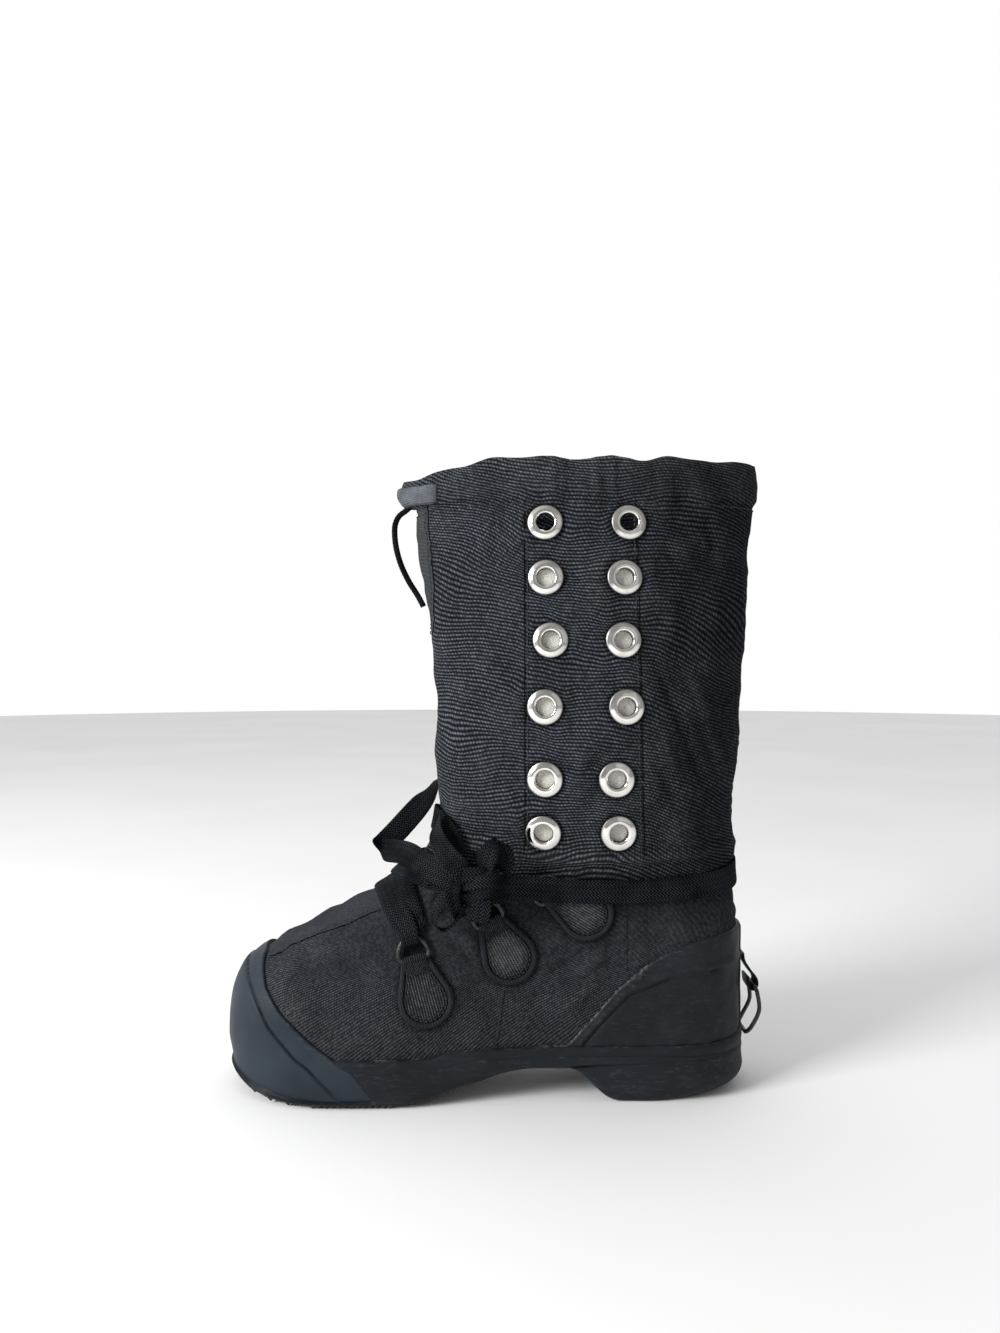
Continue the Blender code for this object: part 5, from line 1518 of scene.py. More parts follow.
def make_sole():
    """The sole with its toothed tread, and the heel with its bulging sides."""
    row = side_row(lambda y: rim_height(y) + GAP, 151)
    rings = []
    for share, flare, _ in SOLE_SIDE:

        def height_of(y, share=share):
            low = underside(y) + TREAD_DEPTH * smoothstep(-112 * MM, -124 * MM, y)
            return low + share * (rim_height(y) - low)

        moved, column = under_cap(row, height_of)
        over_foot = height_of(moved[2]) - table_of(CAP_FOOT, moved[2])
        tucked = smoothstep(0.0, 1.2 * MM, over_foot) * (np.arange(len(row[0])) < column)
        tucked = np.concatenate([tucked, tucked[-2:0:-1]])
        ring = let_out(whole_ring(moved), flare * MM * (1 - tucked) - 0.5 * MM * tucked)
        ring[:, 2] = height_of(ring[:, 1])
        rings.append(ring)
    grid, count = np.array(rings), len(rings[0])
    light = np.repeat([scuffed for _, _, scuffed in SOLE_SIDE], count)
    bag = Bag().add(grid.reshape(-1, 3), grid_faces(len(rings), count, 0, True), scuff=light)
    floor_over(bag, rings[-1], 3, True)
    bag.piece("sole_unit", finish_of("moulded rubber"), "sole_rubber", sharp=45)
    tread = Bag()
    floor_over(tread, rings[0] - np.array([0, 0, 0.05 * MM]), 3, False)
    base, tip = lambda along: underside(along) + TREAD_DEPTH, lambda along: underside(along) + 0.1 * MM
    teeth(tread, row, -256 * MM, -118 * MM, -0.6 * MM, base, tip)
    tread.piece("sole_tread", finish_of("tread rubber"), "sole_rubber", "outsole", sharp=20)
    make_heel(row)


def make_heel(row):
    """The heel: rings up its side, a lip over the sole, and its own sunk tread."""
    rings = []
    for height in HEEL_ROWS:
        front = float(table_of(HEEL_FRONT, height * MM))
        arch = back_arch(side_row(lambda y: rim_height(y) + GAP, 61, lambda z: front + 0 * z))
        ring = np.concatenate([arch, np.linspace(arch[-1], arch[0], 28)[1:-1]])
        for _ in range(3):
            ring = (np.roll(ring, 1, 0) + 2 * ring + np.roll(ring, -1, 0)) / 4
        rounded_under = max(1 - height / 14, 0) ** 2.4
        flare = table_of(HEEL_SWELL, height * MM) + 3.4 * MM
        flare = flare - 10.5 * MM * rounded_under * smoothstep(-16 * MM, 34 * MM, ring[:, 1])
        ring = let_out(ring, flare * smoothstep(0, 5 * MM, ring[:, 1] - front))
        ring[:, 2] = height * MM
        if height > 17:
            ring[:, 2] = np.minimum(height * MM, np.maximum(underside(ring[:, 1]), 18 * MM) - 0.1 * MM)
        rings.append(ring)
    top = rings[-1]
    for share, swell in HEEL_LIP:
        lip = let_out(top, swell * MM)
        lip[:, 2] += share * (np.maximum(table_of(HEEL_TOP, lip[:, 1]), top[:, 2]) - top[:, 2])
        rings.append(lip)
    grid, count = np.array(rings), len(rings[0])
    # Painted shade on the top rows of the lip, where it meets the sole.
    lines = np.repeat([0.0] * (len(rings) - 2) + [0.1, 0.8], count)
    heel = Bag().add(grid.reshape(-1, 3), grid_faces(len(rings), count, 0, True), scuff=0.3, line=lines)
    heel.add(rings[-1], [list(range(count))])
    heel.piece("heel_unit", finish_of("moulded rubber"), "sole_rubber", "heel_block", sharp=45)
    tread = Bag()
    inset, deep = let_out(rings[0], -3.0 * MM), let_out(rings[0], -3.8 * MM)
    deep[:, 2] = 1.8 * MM
    bottom = [list(range(2 * count, 3 * count))[::-1]]
    tread.add(np.concatenate([rings[0], inset, deep]), grid_faces(3, count, 0, True, True) + bottom)
    base, tip = lambda along: 0 * along + 1.8 * MM, lambda along: 0 * along + 0.05 * MM
    teeth(tread, row, -28 * MM, 28 * MM, 13 * MM, base, tip)
    tread.piece("heel_tread", finish_of("tread rubber"), "sole_rubber", sharp=20)


# ---------------------------------------------------------------- grommets
# A grommet's section: how far from its middle, how far off the canvas, and how dark it is there: dirt, with
# painted shade at the rim and in the barrel.
GROMMET = [
    (5.2, -2.6, 1), (5.2, 0.2, 0.9), (5.3, 0.85, 0.2), (5.7, 1.38, 0), (6.3, 1.62, 0),
    (7.2, 1.55, 0), (8.2, 1.2, 0), (9.2, 0.75, 0.1), (9.75, 0.55, 0.6), (10.1, 0.3, 1),
    (10.0, 0.02, 1), (9.5, -0.15, 1), (6.2, -0.1, 1), (5.5, -0.3, 1), (5.5, -2.6, 1),
]  # fmt: skip
# How far each grommet of a side stands out of true, in degrees.
LEANS = (1.5, -1.0, 2.0, 0.5, -2.0, 1.0, 0.0, -1.5, 2.5, 0.8, 7.0, -1.2)


def upright_frame(point, normal, lean, spin):
    """A frame on the canvas with its Z outwards and its Y up, tipped by two small angles."""
    z = Vector(normal).normalized()
    x = Vector((0, 0, 1)).cross(z).normalized()
    turn = Matrix((x, z.cross(x), z)).transposed().to_4x4()
    lean = Matrix.Rotation(math.radians(lean), 4, "X") @ Matrix.Rotation(math.radians(spin), 4, "Y")
    return Matrix.Translation(Vector(point)) @ turn @ lean


def make_grommets():
    """Rolled grommets in the shaft, each a little out of true."""
    sides = 48
    turn = np.arange(sides)[:, None] * 2 * math.pi / sides
    reach, height, dirt_and_shade = np.array(GROMMET).T
    reach, height = reach * MM, height * MM
    points = np.stack([reach * np.cos(turn), reach * np.sin(turn), height + 0 * turn], -1).reshape(-1, 3)
    faces = [face[::-1] for face in tube_faces(sides, len(GROMMET), True)]
    for number, (name, place, normal) in enumerate(EYELETS):
        lean = LEANS[number % len(LEANS)]
        frame_of = upright_frame(place + normal * 0.15 * MM, normal, lean * 0.6, -lean * 0.5)
        placed = np.array([frame_of @ Vector(p) for p in points])
        piece(
            name.replace("eyelet", "grommet"), placed, faces, finish_of("bright nickel"), "grommet", name,
            sharp=60, line=np.tile(dirt_and_shade, sides),
        )  # fmt: skip


# ---------------------------------------------------------------- lace tabs and rings
# A tab's rows from its edge inwards: how far in and how high. Then the shares of its flat middle.
TAB_EDGE = [
    (0, 0.5), (0.12, 1.35), (0.5, 2.05), (1.1, 2.45), (1.9, 2.55), (2.7, 2.4),
    (3.3, 1.95), (3.6, 1.45), (3.8, 1.25), (4.1, 1.6), (5.0, 1.85), (6.4, 1.85),
]  # fmt: skip
TAB_MIDDLE, TAB_TOP = (0.45, 0.3, 0.15, 0.0), 1.9 * MM
# How worn the three tabs of a side are, and how far their rings swing, in degrees.
TAB_WORN, RING_SWING = (0.34, 1.5, 1.0), (0.0, 0.0, -3.0)
# The flap under the fold: how far along the tab's axis and how far in from the ring's bar.
FLAP = [(0.5, -0.9), (-2, -0.6), (-4.2, 0.5), (-6.5, 1.25), (-9, 1.6)]
# The straight bar of a ring with its bends, across and along, in half widths of the ring.
RING_BAR = [
    (-1.0, 0.17), (-0.93, 0.04), (-0.82, 0.0), (-0.4, 0), (0, 0),
    (0.4, 0), (0.82, 0), (0.93, 0.04), (1.0, 0.17),
]  # fmt: skip


def tab_frame(place, side):
    """The tab's fold: point on the canvas, normal, the tab's axis towards its ring and across."""
    lean = math.radians(place[2])
    y = place[0] * MM - TAB_REACH * math.sin(lean)
    z = place[1] * MM + TAB_REACH * math.cos(lean)
    point, normal = side_point(np.array(y), np.array(z), side), side_normal(np.array(y), np.array(z), side)
    axis = np.array([0, -math.sin(lean), math.cos(lean)])
    axis -= normal * axis.dot(normal)
    axis /= np.linalg.norm(axis)
    return point, normal, axis, np.cross(normal, axis)


def tab_places(place, u, v):
    """Places along and up for points of a tab's own plane, across and towards its ring."""
    lean = math.radians(place[2])
    y = place[0] * MM + u * math.cos(lean) - v * math.sin(lean)
    z = place[1] * MM + u * math.sin(lean) + v * math.cos(lean)
    return y, z


def tab_outline(count=96):
    """The teardrop's edge and the spine point that each edge point belongs to, in the tab's own plane."""
    turn = np.radians(np.linspace(-198, 18, count))
    u, v = TAB_ROUND * np.cos(turn), TAB_ROUND * np.sin(turn)
    neck = np.linspace(0, 1, 20)[1:]
    right = np.stack([u[-1] + (TAB_NECK - u[-1]) * neck, v[-1] + (TAB_REACH - v[-1]) * neck], 1)
    left = right[::-1] * np.array([-1, 1])
    edge = np.concatenate([left, np.stack([u, v], 1), right])
    spine = np.stack([0 * edge[:, 0], np.clip(edge[:, 1], -2 * MM, TAB_REACH * 0.92)], 1)
    return edge, spine


def laid_on(place, flat, side):
    """Points of a tab's own plane on the canvas, and the ways out of it there."""
    y, z = tab_places(place, flat[..., 0], flat[..., 1])
    return side_point(y, z, side), side_normal(y, z, side)


def tab_cushion(bag, number, place, side):
    """The teardrop with its piped edge, laid on the canvas."""
    edge, spine = tab_outline()
    reach = np.linalg.norm(edge - spine, axis=1)
    insets, heights = np.array(TAB_EDGE).T * MM
    shares = [np.clip(1 - inset / np.maximum(reach, 1e-6), 0.1, 1) for inset in insets]
    shares = np.array(shares + [np.minimum(share, shares[-1]) for share in TAB_MIDDLE])
    lifts = np.concatenate([heights, np.full(len(TAB_MIDDLE), TAB_TOP)])[:, None]
    flat = spine[None] + (edge - spine)[None] * shares[..., None]
    base, normal = laid_on(place, flat, side)
    soft = 0.12 * MM * ripple(base, 9 * MM, 60 + number)
    outer, inner = base + normal * (lifts + soft)[..., None], base + normal * (0.45 * MM)
    if side > 0:
        outer, inner, flat = outer[:, ::-1], inner[:, ::-1], flat[:, ::-1]
    inset = np.linalg.norm((edge - spine)[None] * (1 - shares[..., None]), axis=-1)
    u, v = flat[..., 0], flat[..., 1]
    worn = TAB_WORN[number - 1] * smoothstep(15 * MM, 4 * MM, np.hypot(u, v - 3 * MM))
    piping = smoothstep(3.6 * MM, 3.2 * MM, inset)
    # shade: painted shade in the groove inside the piping, and the piping's own darker tone.
    values = {
        "rib": u / (1.5 * MM), "weft": (v + 0.5 * u) / (1.4 * MM), "fine": 1.0 + 0 * u, "strip": 1.1 * piping,
        "wear": worn * smoothstep(3.6 * MM, 4.4 * MM, inset),
        "shade": 0.75 * hill(inset - 3.7 * MM, 0.35 * MM) + 0.3 * piping,
    }  # fmt: skip
    points, faces = plate(outer[::-1], inner[::-1])
    bag.add(points, faces, **{key: np.tile(found[::-1].ravel(), 2) for key, found in values.items()})


def tab_fold(bag, middle, out, axis, across):
    """The rolled sleeve round the ring's bar, narrowed at its ends, and the flap that runs back from it."""
    sleeve = np.array([middle + across * s * 7.2 * MM for s in np.linspace(-1, 1, 15)])
    narrow = np.array([0.55, 0.9] + [1.0] * 11 + [0.9, 0.55])
    sides = 16
    points, faces, _, _ = sweep(sleeve, out, round_section(2.25 * MM, sides))
    centre = np.repeat(sleeve, sides, 0)
    points = centre + (points - centre) * np.repeat(narrow, sides)[:, None]
    bag.add(points, faces, rib=(points @ across) / (1.3 * MM), fine=1.0, shade=0.3)
    flap = np.array([middle + axis * along * MM - out * deep * MM for along, deep in FLAP])
    points, faces, u, v = sweep(through(flap, 3), out, tape_section(13.6 * MM, 1.2 * MM))
    bag.add(points, faces, rib=(u + v) / (1.6 * MM), fine=1.0, shade=0.3)


def make_tabs():
    """Piped teardrop tabs sewn to the upper, with their fold round the ring's bar, and the wire rings."""
    for side, word in ((1, "left"), (-1, "right")):
        for number, place in enumerate(TAB_PLACES, 1):
            mark = f"{word}_{number}"
            point, out, axis, across = tab_frame(place, side)
            middle = point + out * RING_LIFT
            bag = Bag()
            tab_cushion(bag, number, place, side)
            tab_fold(bag, middle, out, axis, across)
            bag.piece("tab_" + mark, finish_of("ribbed canvas"), "canvas", "lace_tab_" + mark, sharp=50)
            swing = math.radians(RING_SWING[number - 1]) * side
            bow = axis * math.cos(swing) + across * math.sin(swing)
            make_ring(mark, middle, out, bow, np.cross(out, bow))


def make_ring(mark, middle, out, axis, across):
    """A wire ring: a half round bow over a straight bar."""
    flat = [(math.cos(a), 0.35 + math.sin(a)) for a in np.radians(np.linspace(0, 180, 33))] + RING_BAR
    path = np.array([middle + across * u * RING_HALF + axis * v * RING_HALF for u, v in flat])
    wire_piece("dring_" + mark, path, out, RING_WIRE, "lace_ring_" + mark)


# ---------------------------------------------------------------- collar, chape and bail
# The binding's rows up the casing, and where it ends towards the back.
BINDING_ROWS = (346.6, 347.2, 348.4, 350, 351.6, 353.2, 354.6, 355.6, 356.2)
BINDING_END = -137 * MM
# The first places of the chape lie on the counter and face this way. The others face away from the bail's
# axis.
CHAPE_START, CHAPE_WAY = 14, (0.0, 1.0, 0.6)


def make_binding():
    """The light binding over the front of the casing."""
    grid = []
    for height in BINDING_ROWS:
        row = side_row(lambda y: height * MM + 0 * y, 61, lambda z: BINDING_END + 0 * z, True)
        grid.append(front_arch(row))
    grid = np.array(grid)
    normal = normals_of(grid, False)
    share = np.linspace(0, 1, len(grid))[:, None]
    side = np.linspace(-1, 1, grid.shape[1])[None]
    wall = 1.1 + relief(grid, side_of(grid)) / MM + 0.75 * np.sin(math.pi * share) ** 0.35
    wall += 0.18 * ripple(grid, 7 * MM, 71)
    wall *= 1 - 0.35 * np.abs(side) ** 14
    values = {
        "across": grid[..., 2],
        "along": np.broadcast_to(np.linspace(0, 75 * MM, grid.shape[1]), grid.shape[:2]),
        "line": np.clip(0.3 * smoothstep(0.86, 0.97, np.abs(side)) + 0.6 * smoothstep(0.1, 0.0, share), 0, 1),
    }
    points, faces = plate(grid + normal * (wall * MM)[..., None], grid + normal * 0.2 * MM)
    values = {key: np.tile(found.ravel(), 2) for key, found in values.items()}
    finish = finish_of("grey binding")
    piece("collar_binding", points, faces, finish, "binding", "collar_patch", sharp=50, **values)


def make_drawcord():
    """The end of the braided drawcord that hangs out of the casing."""
    path, sides = through(np.array(CORD_ROWS) * MM, 12), 14
    points, faces, _, along = sweep(path, (1.0, 0.0, 0.1), round_section(1.0, sides))
    centre = np.repeat(path, sides, 0)
    angle = np.tile(np.arange(sides) * 2 * math.pi / sides, len(path))
    strand = along / (0.62 * MM)
    braid = 1 + 0.09 * np.cos(4 * angle + strand) * np.cos(4 * angle - strand)
    points = centre + (points - centre) * (1.68 * MM * braid)[:, None]
    cord = piece(
        "draw_cord", points, faces, finish_of("braided cord"), "cord", "drawcord",
        across=angle * 1.6 * MM, along=along,
    )  # fmt: skip
    length = length_of(path)
    tuple(path[0])
    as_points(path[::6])  # fmt: skip


def make_bail():
    """The chape on the counter's strip, and the wire bail that hangs in it."""
    path = through([(0, y, z) for y, z in CHAPE_PATH], 6) * MM
    axis = np.array([0.0, *BAIL_AXIS]) * MM
    ways = path - axis
    ways[:CHAPE_START] = CHAPE_WAY
    widths = 1 - 0.06 * np.sin(np.linspace(0, math.pi, len(path)))
    points, faces, across, _ = sweep(path, ways, tape_section(15 * MM, 1.7 * MM), widths)
    piece(
        "chape_strap", points, faces, finish_of("moulded rubber"), "sole_rubber", "heel_chape",
        # line: painted shade along both edges of the strap.
        scuff=0.4 + 0 * across, line=hill(np.abs(across) - 6 * MM, 0.5 * MM),
    )  # fmt: skip
    low = np.array([0.0, *BAIL_LOW]) * MM
    half = []
    for share, down in BAIL_SHAPE:
        spot = axis + (low - axis) * down
        half.append(spot + np.array([share * 11 * MM, 5 * MM * math.sin(math.pi * down), 0]))
    right = through(half, 6)
    left = right[-2:0:-1] * np.array([-1, 1, 1])
    path = np.concatenate([right, left])
    wire_piece("heel_wire", path, (0.0, 1.0, 0.15), 1.25 * MM, "heel_bail", body="heel_bail")


# ---------------------------------------------------------------- lace
def bar(rows, extra=0.0):
    """A run of the lace over the top of the foot, and the ways it faces."""
    turn, along, lift = through(rows, 7).T
    return lifted(over_point, along * MM, np.radians(turn), (lift + extra) * MM, 2 * MM, 0.06)


# The lace's turn round a ring's bow: how far along the tab's axis, how far out, and how far turned over.
RING_TURN = [
    (14.5, 4.6, 0), (12.4, 5.2, 0), (10.2, 5.15, 0), (8.5, 4.4, 45), (7.9, 3.1, 90),
    (8.6, 1.8, 135), (10.4, 1.15, 180), (12.6, 1.15, 180), (14.5, 1.5, 180),
]  # fmt: skip
RING_WIDTH, LOOP_WIDTH = 0.72, 11 * MM


def ring_turn(number, side):
    """The lace's hairpin round a ring's bow: in over it and out under it."""
    point, out, axis, _ = tab_frame(TAB_PLACES[number - 1], side)
    points, ways = [], []
    for v, lift, lean in RING_TURN:
        a = math.radians(lean)
        points.append(point + axis * v * MM + out * lift * MM)
        ways.append(out * math.cos(a) - axis * math.sin(a))
    return np.array(points), np.array(ways)


def tape_piece(name, points, ways, node, widths=None, width=None):
    """A length of the flat lace along a path."""
    sizes = bpy.context.scene.boot_sizes
    section = tape_section(width or sizes.tape_width, sizes.tape_thick, 0.35 * MM)
    points, faces, across, along = sweep(points, ways, section, widths)
    lace = finish_of("woven lace")
    return piece(name, points, faces, lace, "tape", node, sharp=60, across=across, along=along)


def make_bars():
    """One run of lace over the foot, threaded through four rings."""
    mirrored = [(180 - turn, along, lift) for turn, along, lift in HIGH_BAR][::-1]
    under_knot = np.array([(50.6, -112.0, 122.5), (48.6, -114.5, 119.2)]) * MM
    # Each run's points and ways, the side that it turns outwards, and its share of the full width.
    runs = [
        (under_knot, np.array([(0.9, -0.2, 0.3), (0.8, -0.2, 0.5)]), 1, 1.0),
        (*ring_turn(2, 1), 1, RING_WIDTH),
        (*bar(mirrored, 1.2), -1, 1.0),
        (*(part[::-1] for part in ring_turn(1, -1)), 1, RING_WIDTH),
        (*bar(LOW_BAR[::-1]), 1, 1.0),
        (*ring_turn(1, 1), 1, RING_WIDTH),
        (*bar(HIGH_BAR), -1, 1.0),
        (*ring_turn(2, -1), -1, RING_WIDTH),
    ]
    points = np.concatenate([run for run, _, _, _ in runs])
    ways = np.concatenate([way * flip for _, way, flip, _ in runs])
    widths = np.concatenate([np.full(len(run), width) for run, _, _, width in runs])
    for _ in range(2):
        widths[1:-1] = (widths[:-2] + 2 * widths[1:-1] + widths[2:]) / 4
    rows = through(np.concatenate([points / MM, ways * 10, widths[:, None] * 10], 1), 3)
    path = rows[:, :3] * MM
    step = np.linalg.norm(np.diff(path, axis=0), axis=1)
    kept = np.concatenate([[True], step > 0.15 * MM])
    tape_piece("lace_bars", path[kept], rows[kept, 3:6], "lace_crossings", rows[kept, 6] / 10)


def free_run(rows, steps=8):
    """A run of lace in the air, from rows of its place and the way it faces."""
    found = through(rows, steps)
    return found[:, :3] * MM, found[:, 3:]


def blob(middle, half, seed, rows=15, columns=28):
    """A soft pulled-in lump, used under the knot's bands."""
    down, turn = np.linspace(0, math.pi, rows)[:, None], np.arange(columns) * 2 * math.pi / columns
    ball = np.stack([np.sin(down) * np.cos(turn), np.sin(down) * np.sin(turn), np.cos(down) + 0 * turn], -1)
    points = np.array(middle) * MM + ball * np.array(half) * MM
    points += ball * 0.5 * MM * ripple(points, 8 * MM, seed)[..., None]
    return points.reshape(-1, 3), grid_faces(rows, columns, 0, True, True)


# The knot's bands: width, how far the edges curl, then places and the ways they face there.
KNOT_BANDS = [
    (13.0, 0.9, [
        (22.0, -136.5, 159.0, 0.6, -0.8, 0.0), (33.0, -136.5, 152.5, 0.75, -0.65, 0.1),
        (45.0, -131.5, 145.0, 0.85, -0.5, 0.2), (54.0, -123.5, 138.0, 0.9, -0.3, 0.3),
        (53.0, -116.0, 131.5, 0.7, -0.1, 0.7),
    ]),
    (7.5, -0.7, [
        (52.0, -121.8, 127.4, 0.6, -0.6, 0.5), (57.5, -117.5, 129.6, 0.8, -0.3, 0.5),
        (60.4, -110.5, 131.4, 0.9, 0.0, 0.4), (58.6, -102.5, 131.2, 0.85, 0.3, 0.4),
        (53.6, -95.5, 129.4, 0.7, 0.6, 0.3),
    ]),
    (7.0, 0.6, [
        (52.0, -121.4, 126.4, 0.8, -0.5, -0.3), (57.0, -115.0, 124.6, 0.9, -0.2, -0.3),
        (57.6, -107.0, 124.8, 0.9, 0.1, -0.4), (54.0, -98.5, 126.8, 0.8, 0.5, -0.3),
    ]),
    (8.5, 0.5, [
        (51.0, -128.0, 119.5, 0.8, -0.4, -0.2), (54.6, -119.5, 119.6, 0.9, -0.2, -0.3),
        (55.0, -109.0, 120.6, 0.9, 0.1, -0.3), (51.6, -99.5, 121.6, 0.8, 0.5, -0.2),
    ]),
    (7.5, 0.8, [
        (49.0, -122.5, 131.5, 0.3, -0.3, 0.9), (54.5, -124.5, 128.6, 0.85, -0.3, 0.5),
        (57.4, -126.0, 122.6, 1.0, -0.1, 0.1), (56.6, -124.5, 115.8, 0.95, 0.1, -0.2),
        (53.0, -121.5, 110.0, 0.8, 0.3, -0.5),
    ]),
    (8.0, -0.6, [
        (50.0, -107.0, 139.0, 0.8, 0.2, 0.5), (55.4, -104.8, 135.0, 0.9, 0.3, 0.3),
        (56.0, -101.5, 130.0, 0.9, 0.4, 0.0), (51.0, -98.0, 127.0, 0.7, 0.7, 0.0),
    ]),
    (8.0, 0.6, [
        (49.5, -126.0, 133.0, 0.7, -0.7, 0.2), (54.6, -121.0, 134.0, 0.8, -0.4, 0.3),
        (57.6, -113.0, 134.5, 0.95, 0.0, 0.3), (54.0, -105.0, 134.0, 0.8, 0.5, 0.3),
    ]),
]  # fmt: skip


def make_lace():
    """The ankle turn, the knot with its loops and tail, and the slack run in front."""
    make_bars()
    turn, height, lift = through(WRAP_ROWS, 7).T
    points, ways = lifted(leg_point, np.radians(turn), height * MM, lift * MM, 0.06, 2 * MM)
    tape_piece("ankle_turn", points, ways, "lace_wrap")
    slack_path, ways = free_run(SLACK_ROWS)
    slack = tape_piece("slack_run", slack_path, ways, "lace_slack")
    peak, peak_ways = free_run(PEAK_ROWS)
    narrow = 1 - 0.8 * hill(np.arange(len(peak)) - 16, 4.0)
    loops = [
        tape_piece("peak_loop", peak, peak_ways, "lace_peak_loop", narrow, LOOP_WIDTH),
        tape_piece("hanging_loop", *free_run(HANGING_ROWS), "lace_hanging_loop", width=LOOP_WIDTH),
        tape_piece("lace_end", *free_run(TAIL_ROWS), "lace_tail", width=LOOP_WIDTH),
    ]
    sizes = bpy.context.scene.boot_sizes
    bag = Bag()
    points, faces = blob((50.6, -113.0, 128.6), (5.4, 8.6, 7.4), 81)
    bag.add(points, faces, across=points[:, 1], along=points[:, 2] + 0.5 * points[:, 0])
    for width, curl, rows in KNOT_BANDS:
        path, ways = free_run(rows, 7)
        section = tape_section(width * MM, sizes.tape_thick, curl * MM)
        points, faces, across, along = sweep(path, ways, section)
        bag.add(points, faces, across=across, along=along)
    knot = bag.piece("bow_knot", finish_of("woven lace"), "tape", "lace_knot", sharp=60)
    length = length_of(slack_path)
    tuple(slack_path[0])
    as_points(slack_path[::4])  # fmt: skip


# ---------------------------------------------------------------- stitching
# Rows of thread beside the seams of the shaft and of the foot: the seam and how far beside it.
SHAFT_ROWS = [(PLACKET_FRONT, -1.7), (PLACKET_REAR, 1.7), (GUSSET_SEAM, 1.8)]
FOOT_ROWS = [(VAMP_SEAM[1:], 1.5), (MIDFOOT_SEAM, 1.3)]
HEM_LEVEL = 343.4
# The folded edges along the seams, near-black tubes that paint a shadow line: the seam and how thick its edge
# is.
SEAM_SHADOW_EDGES = [
    (PLACKET_FRONT, 0.34), (PLACKET_REAR, 0.34), (VAMP_SEAM, 0.36),
    (HEEL_SIDE_SEAM, 0.22), (MIDFOOT_SEAM, 0.2), (GUSSET_SEAM, 0.4),
]  # fmt: skip
# How far in from a tab's edge its two rows of thread run.
TAB_INSETS = (4.3 * MM, 6.0 * MM)


def side_line(rows, side, lift, shift=0.0):
    """A line of the side view laid on the finished canvas, moved sideways by shift."""
    found = through(rows, 26) * MM
    way = np.gradient(found, axis=0)
    way /= np.linalg.norm(way, axis=1, keepdims=True)
    found = found + np.stack([-way[:, 1], way[:, 0]], 1) * shift
    return skin(found[:, 0], found[:, 1], side, lift)


def make_stitching():
    """Rows of thread along the placket, hem, gusset, vamp and tabs, and painted shadow lines on the seams'
    folded edges.
    """
    pitch = bpy.context.scene.boot_sizes.stitch_pitch
    shaft, foot, tabs, folds = Bag(), Bag(), Bag(), Bag()
    for side in (1, -1):
        for line, shift in SHAFT_ROWS:
            stitches(shaft, *side_line(line, side, 0.05 * MM, shift * MM), pitch)
        for line, shift in FOOT_ROWS:
            stitches(foot, *side_line(line, side, 0.0, shift * MM), pitch * 0.9, 0.22 * MM)
    grid = form_grid([level * MM for level in (HEM_LEVEL - 1, HEM_LEVEL, HEM_LEVEL + 1)], 141)
    normal, out = normals_of(grid, True)[1], relief(grid[1], side_of(grid[1]))
    stitches(shaft, grid[1] + normal * (out + 0.05 * MM)[:, None], normal, pitch)
    for side in (1, -1):
        for line, thick in SEAM_SHADOW_EDGES:
            points, normals = side_line(line, side, 0.16 * MM)
            folds.add(*sweep(points, normals, round_section(thick * MM, 8, 0.8))[:2])
    edge, spine = tab_outline()
    reach = np.linalg.norm(edge - spine, axis=1)
    lines = [spine + (edge - spine) * np.clip(1 - inset / reach, 0.1, 1)[:, None] for inset in TAB_INSETS]
    lines.append(np.stack([np.linspace(-9.5, 9.5, 30) * MM, np.full(30, 5.5 * MM)], 1))
    for side in (1, -1):
        for place in TAB_PLACES:
            for flat in lines:
                points, normal = laid_on(place, flat, side)
                stitches(tabs, points + normal * 2.0 * MM, normal, pitch * 0.85, 0.26 * MM)
    # Near-black tubes on the seams' folded edges: painted shadow lines.
    folds.piece("seam_shadow_lines", finish_of("seam shadow"), "canvas", sharp=80)
    for name, bag in (("shaft_stitching", shaft), ("foot_stitching", foot), ("tab_stitching", tabs)):
        bag.piece(name, finish_of("black thread"), "canvas", sharp=80)


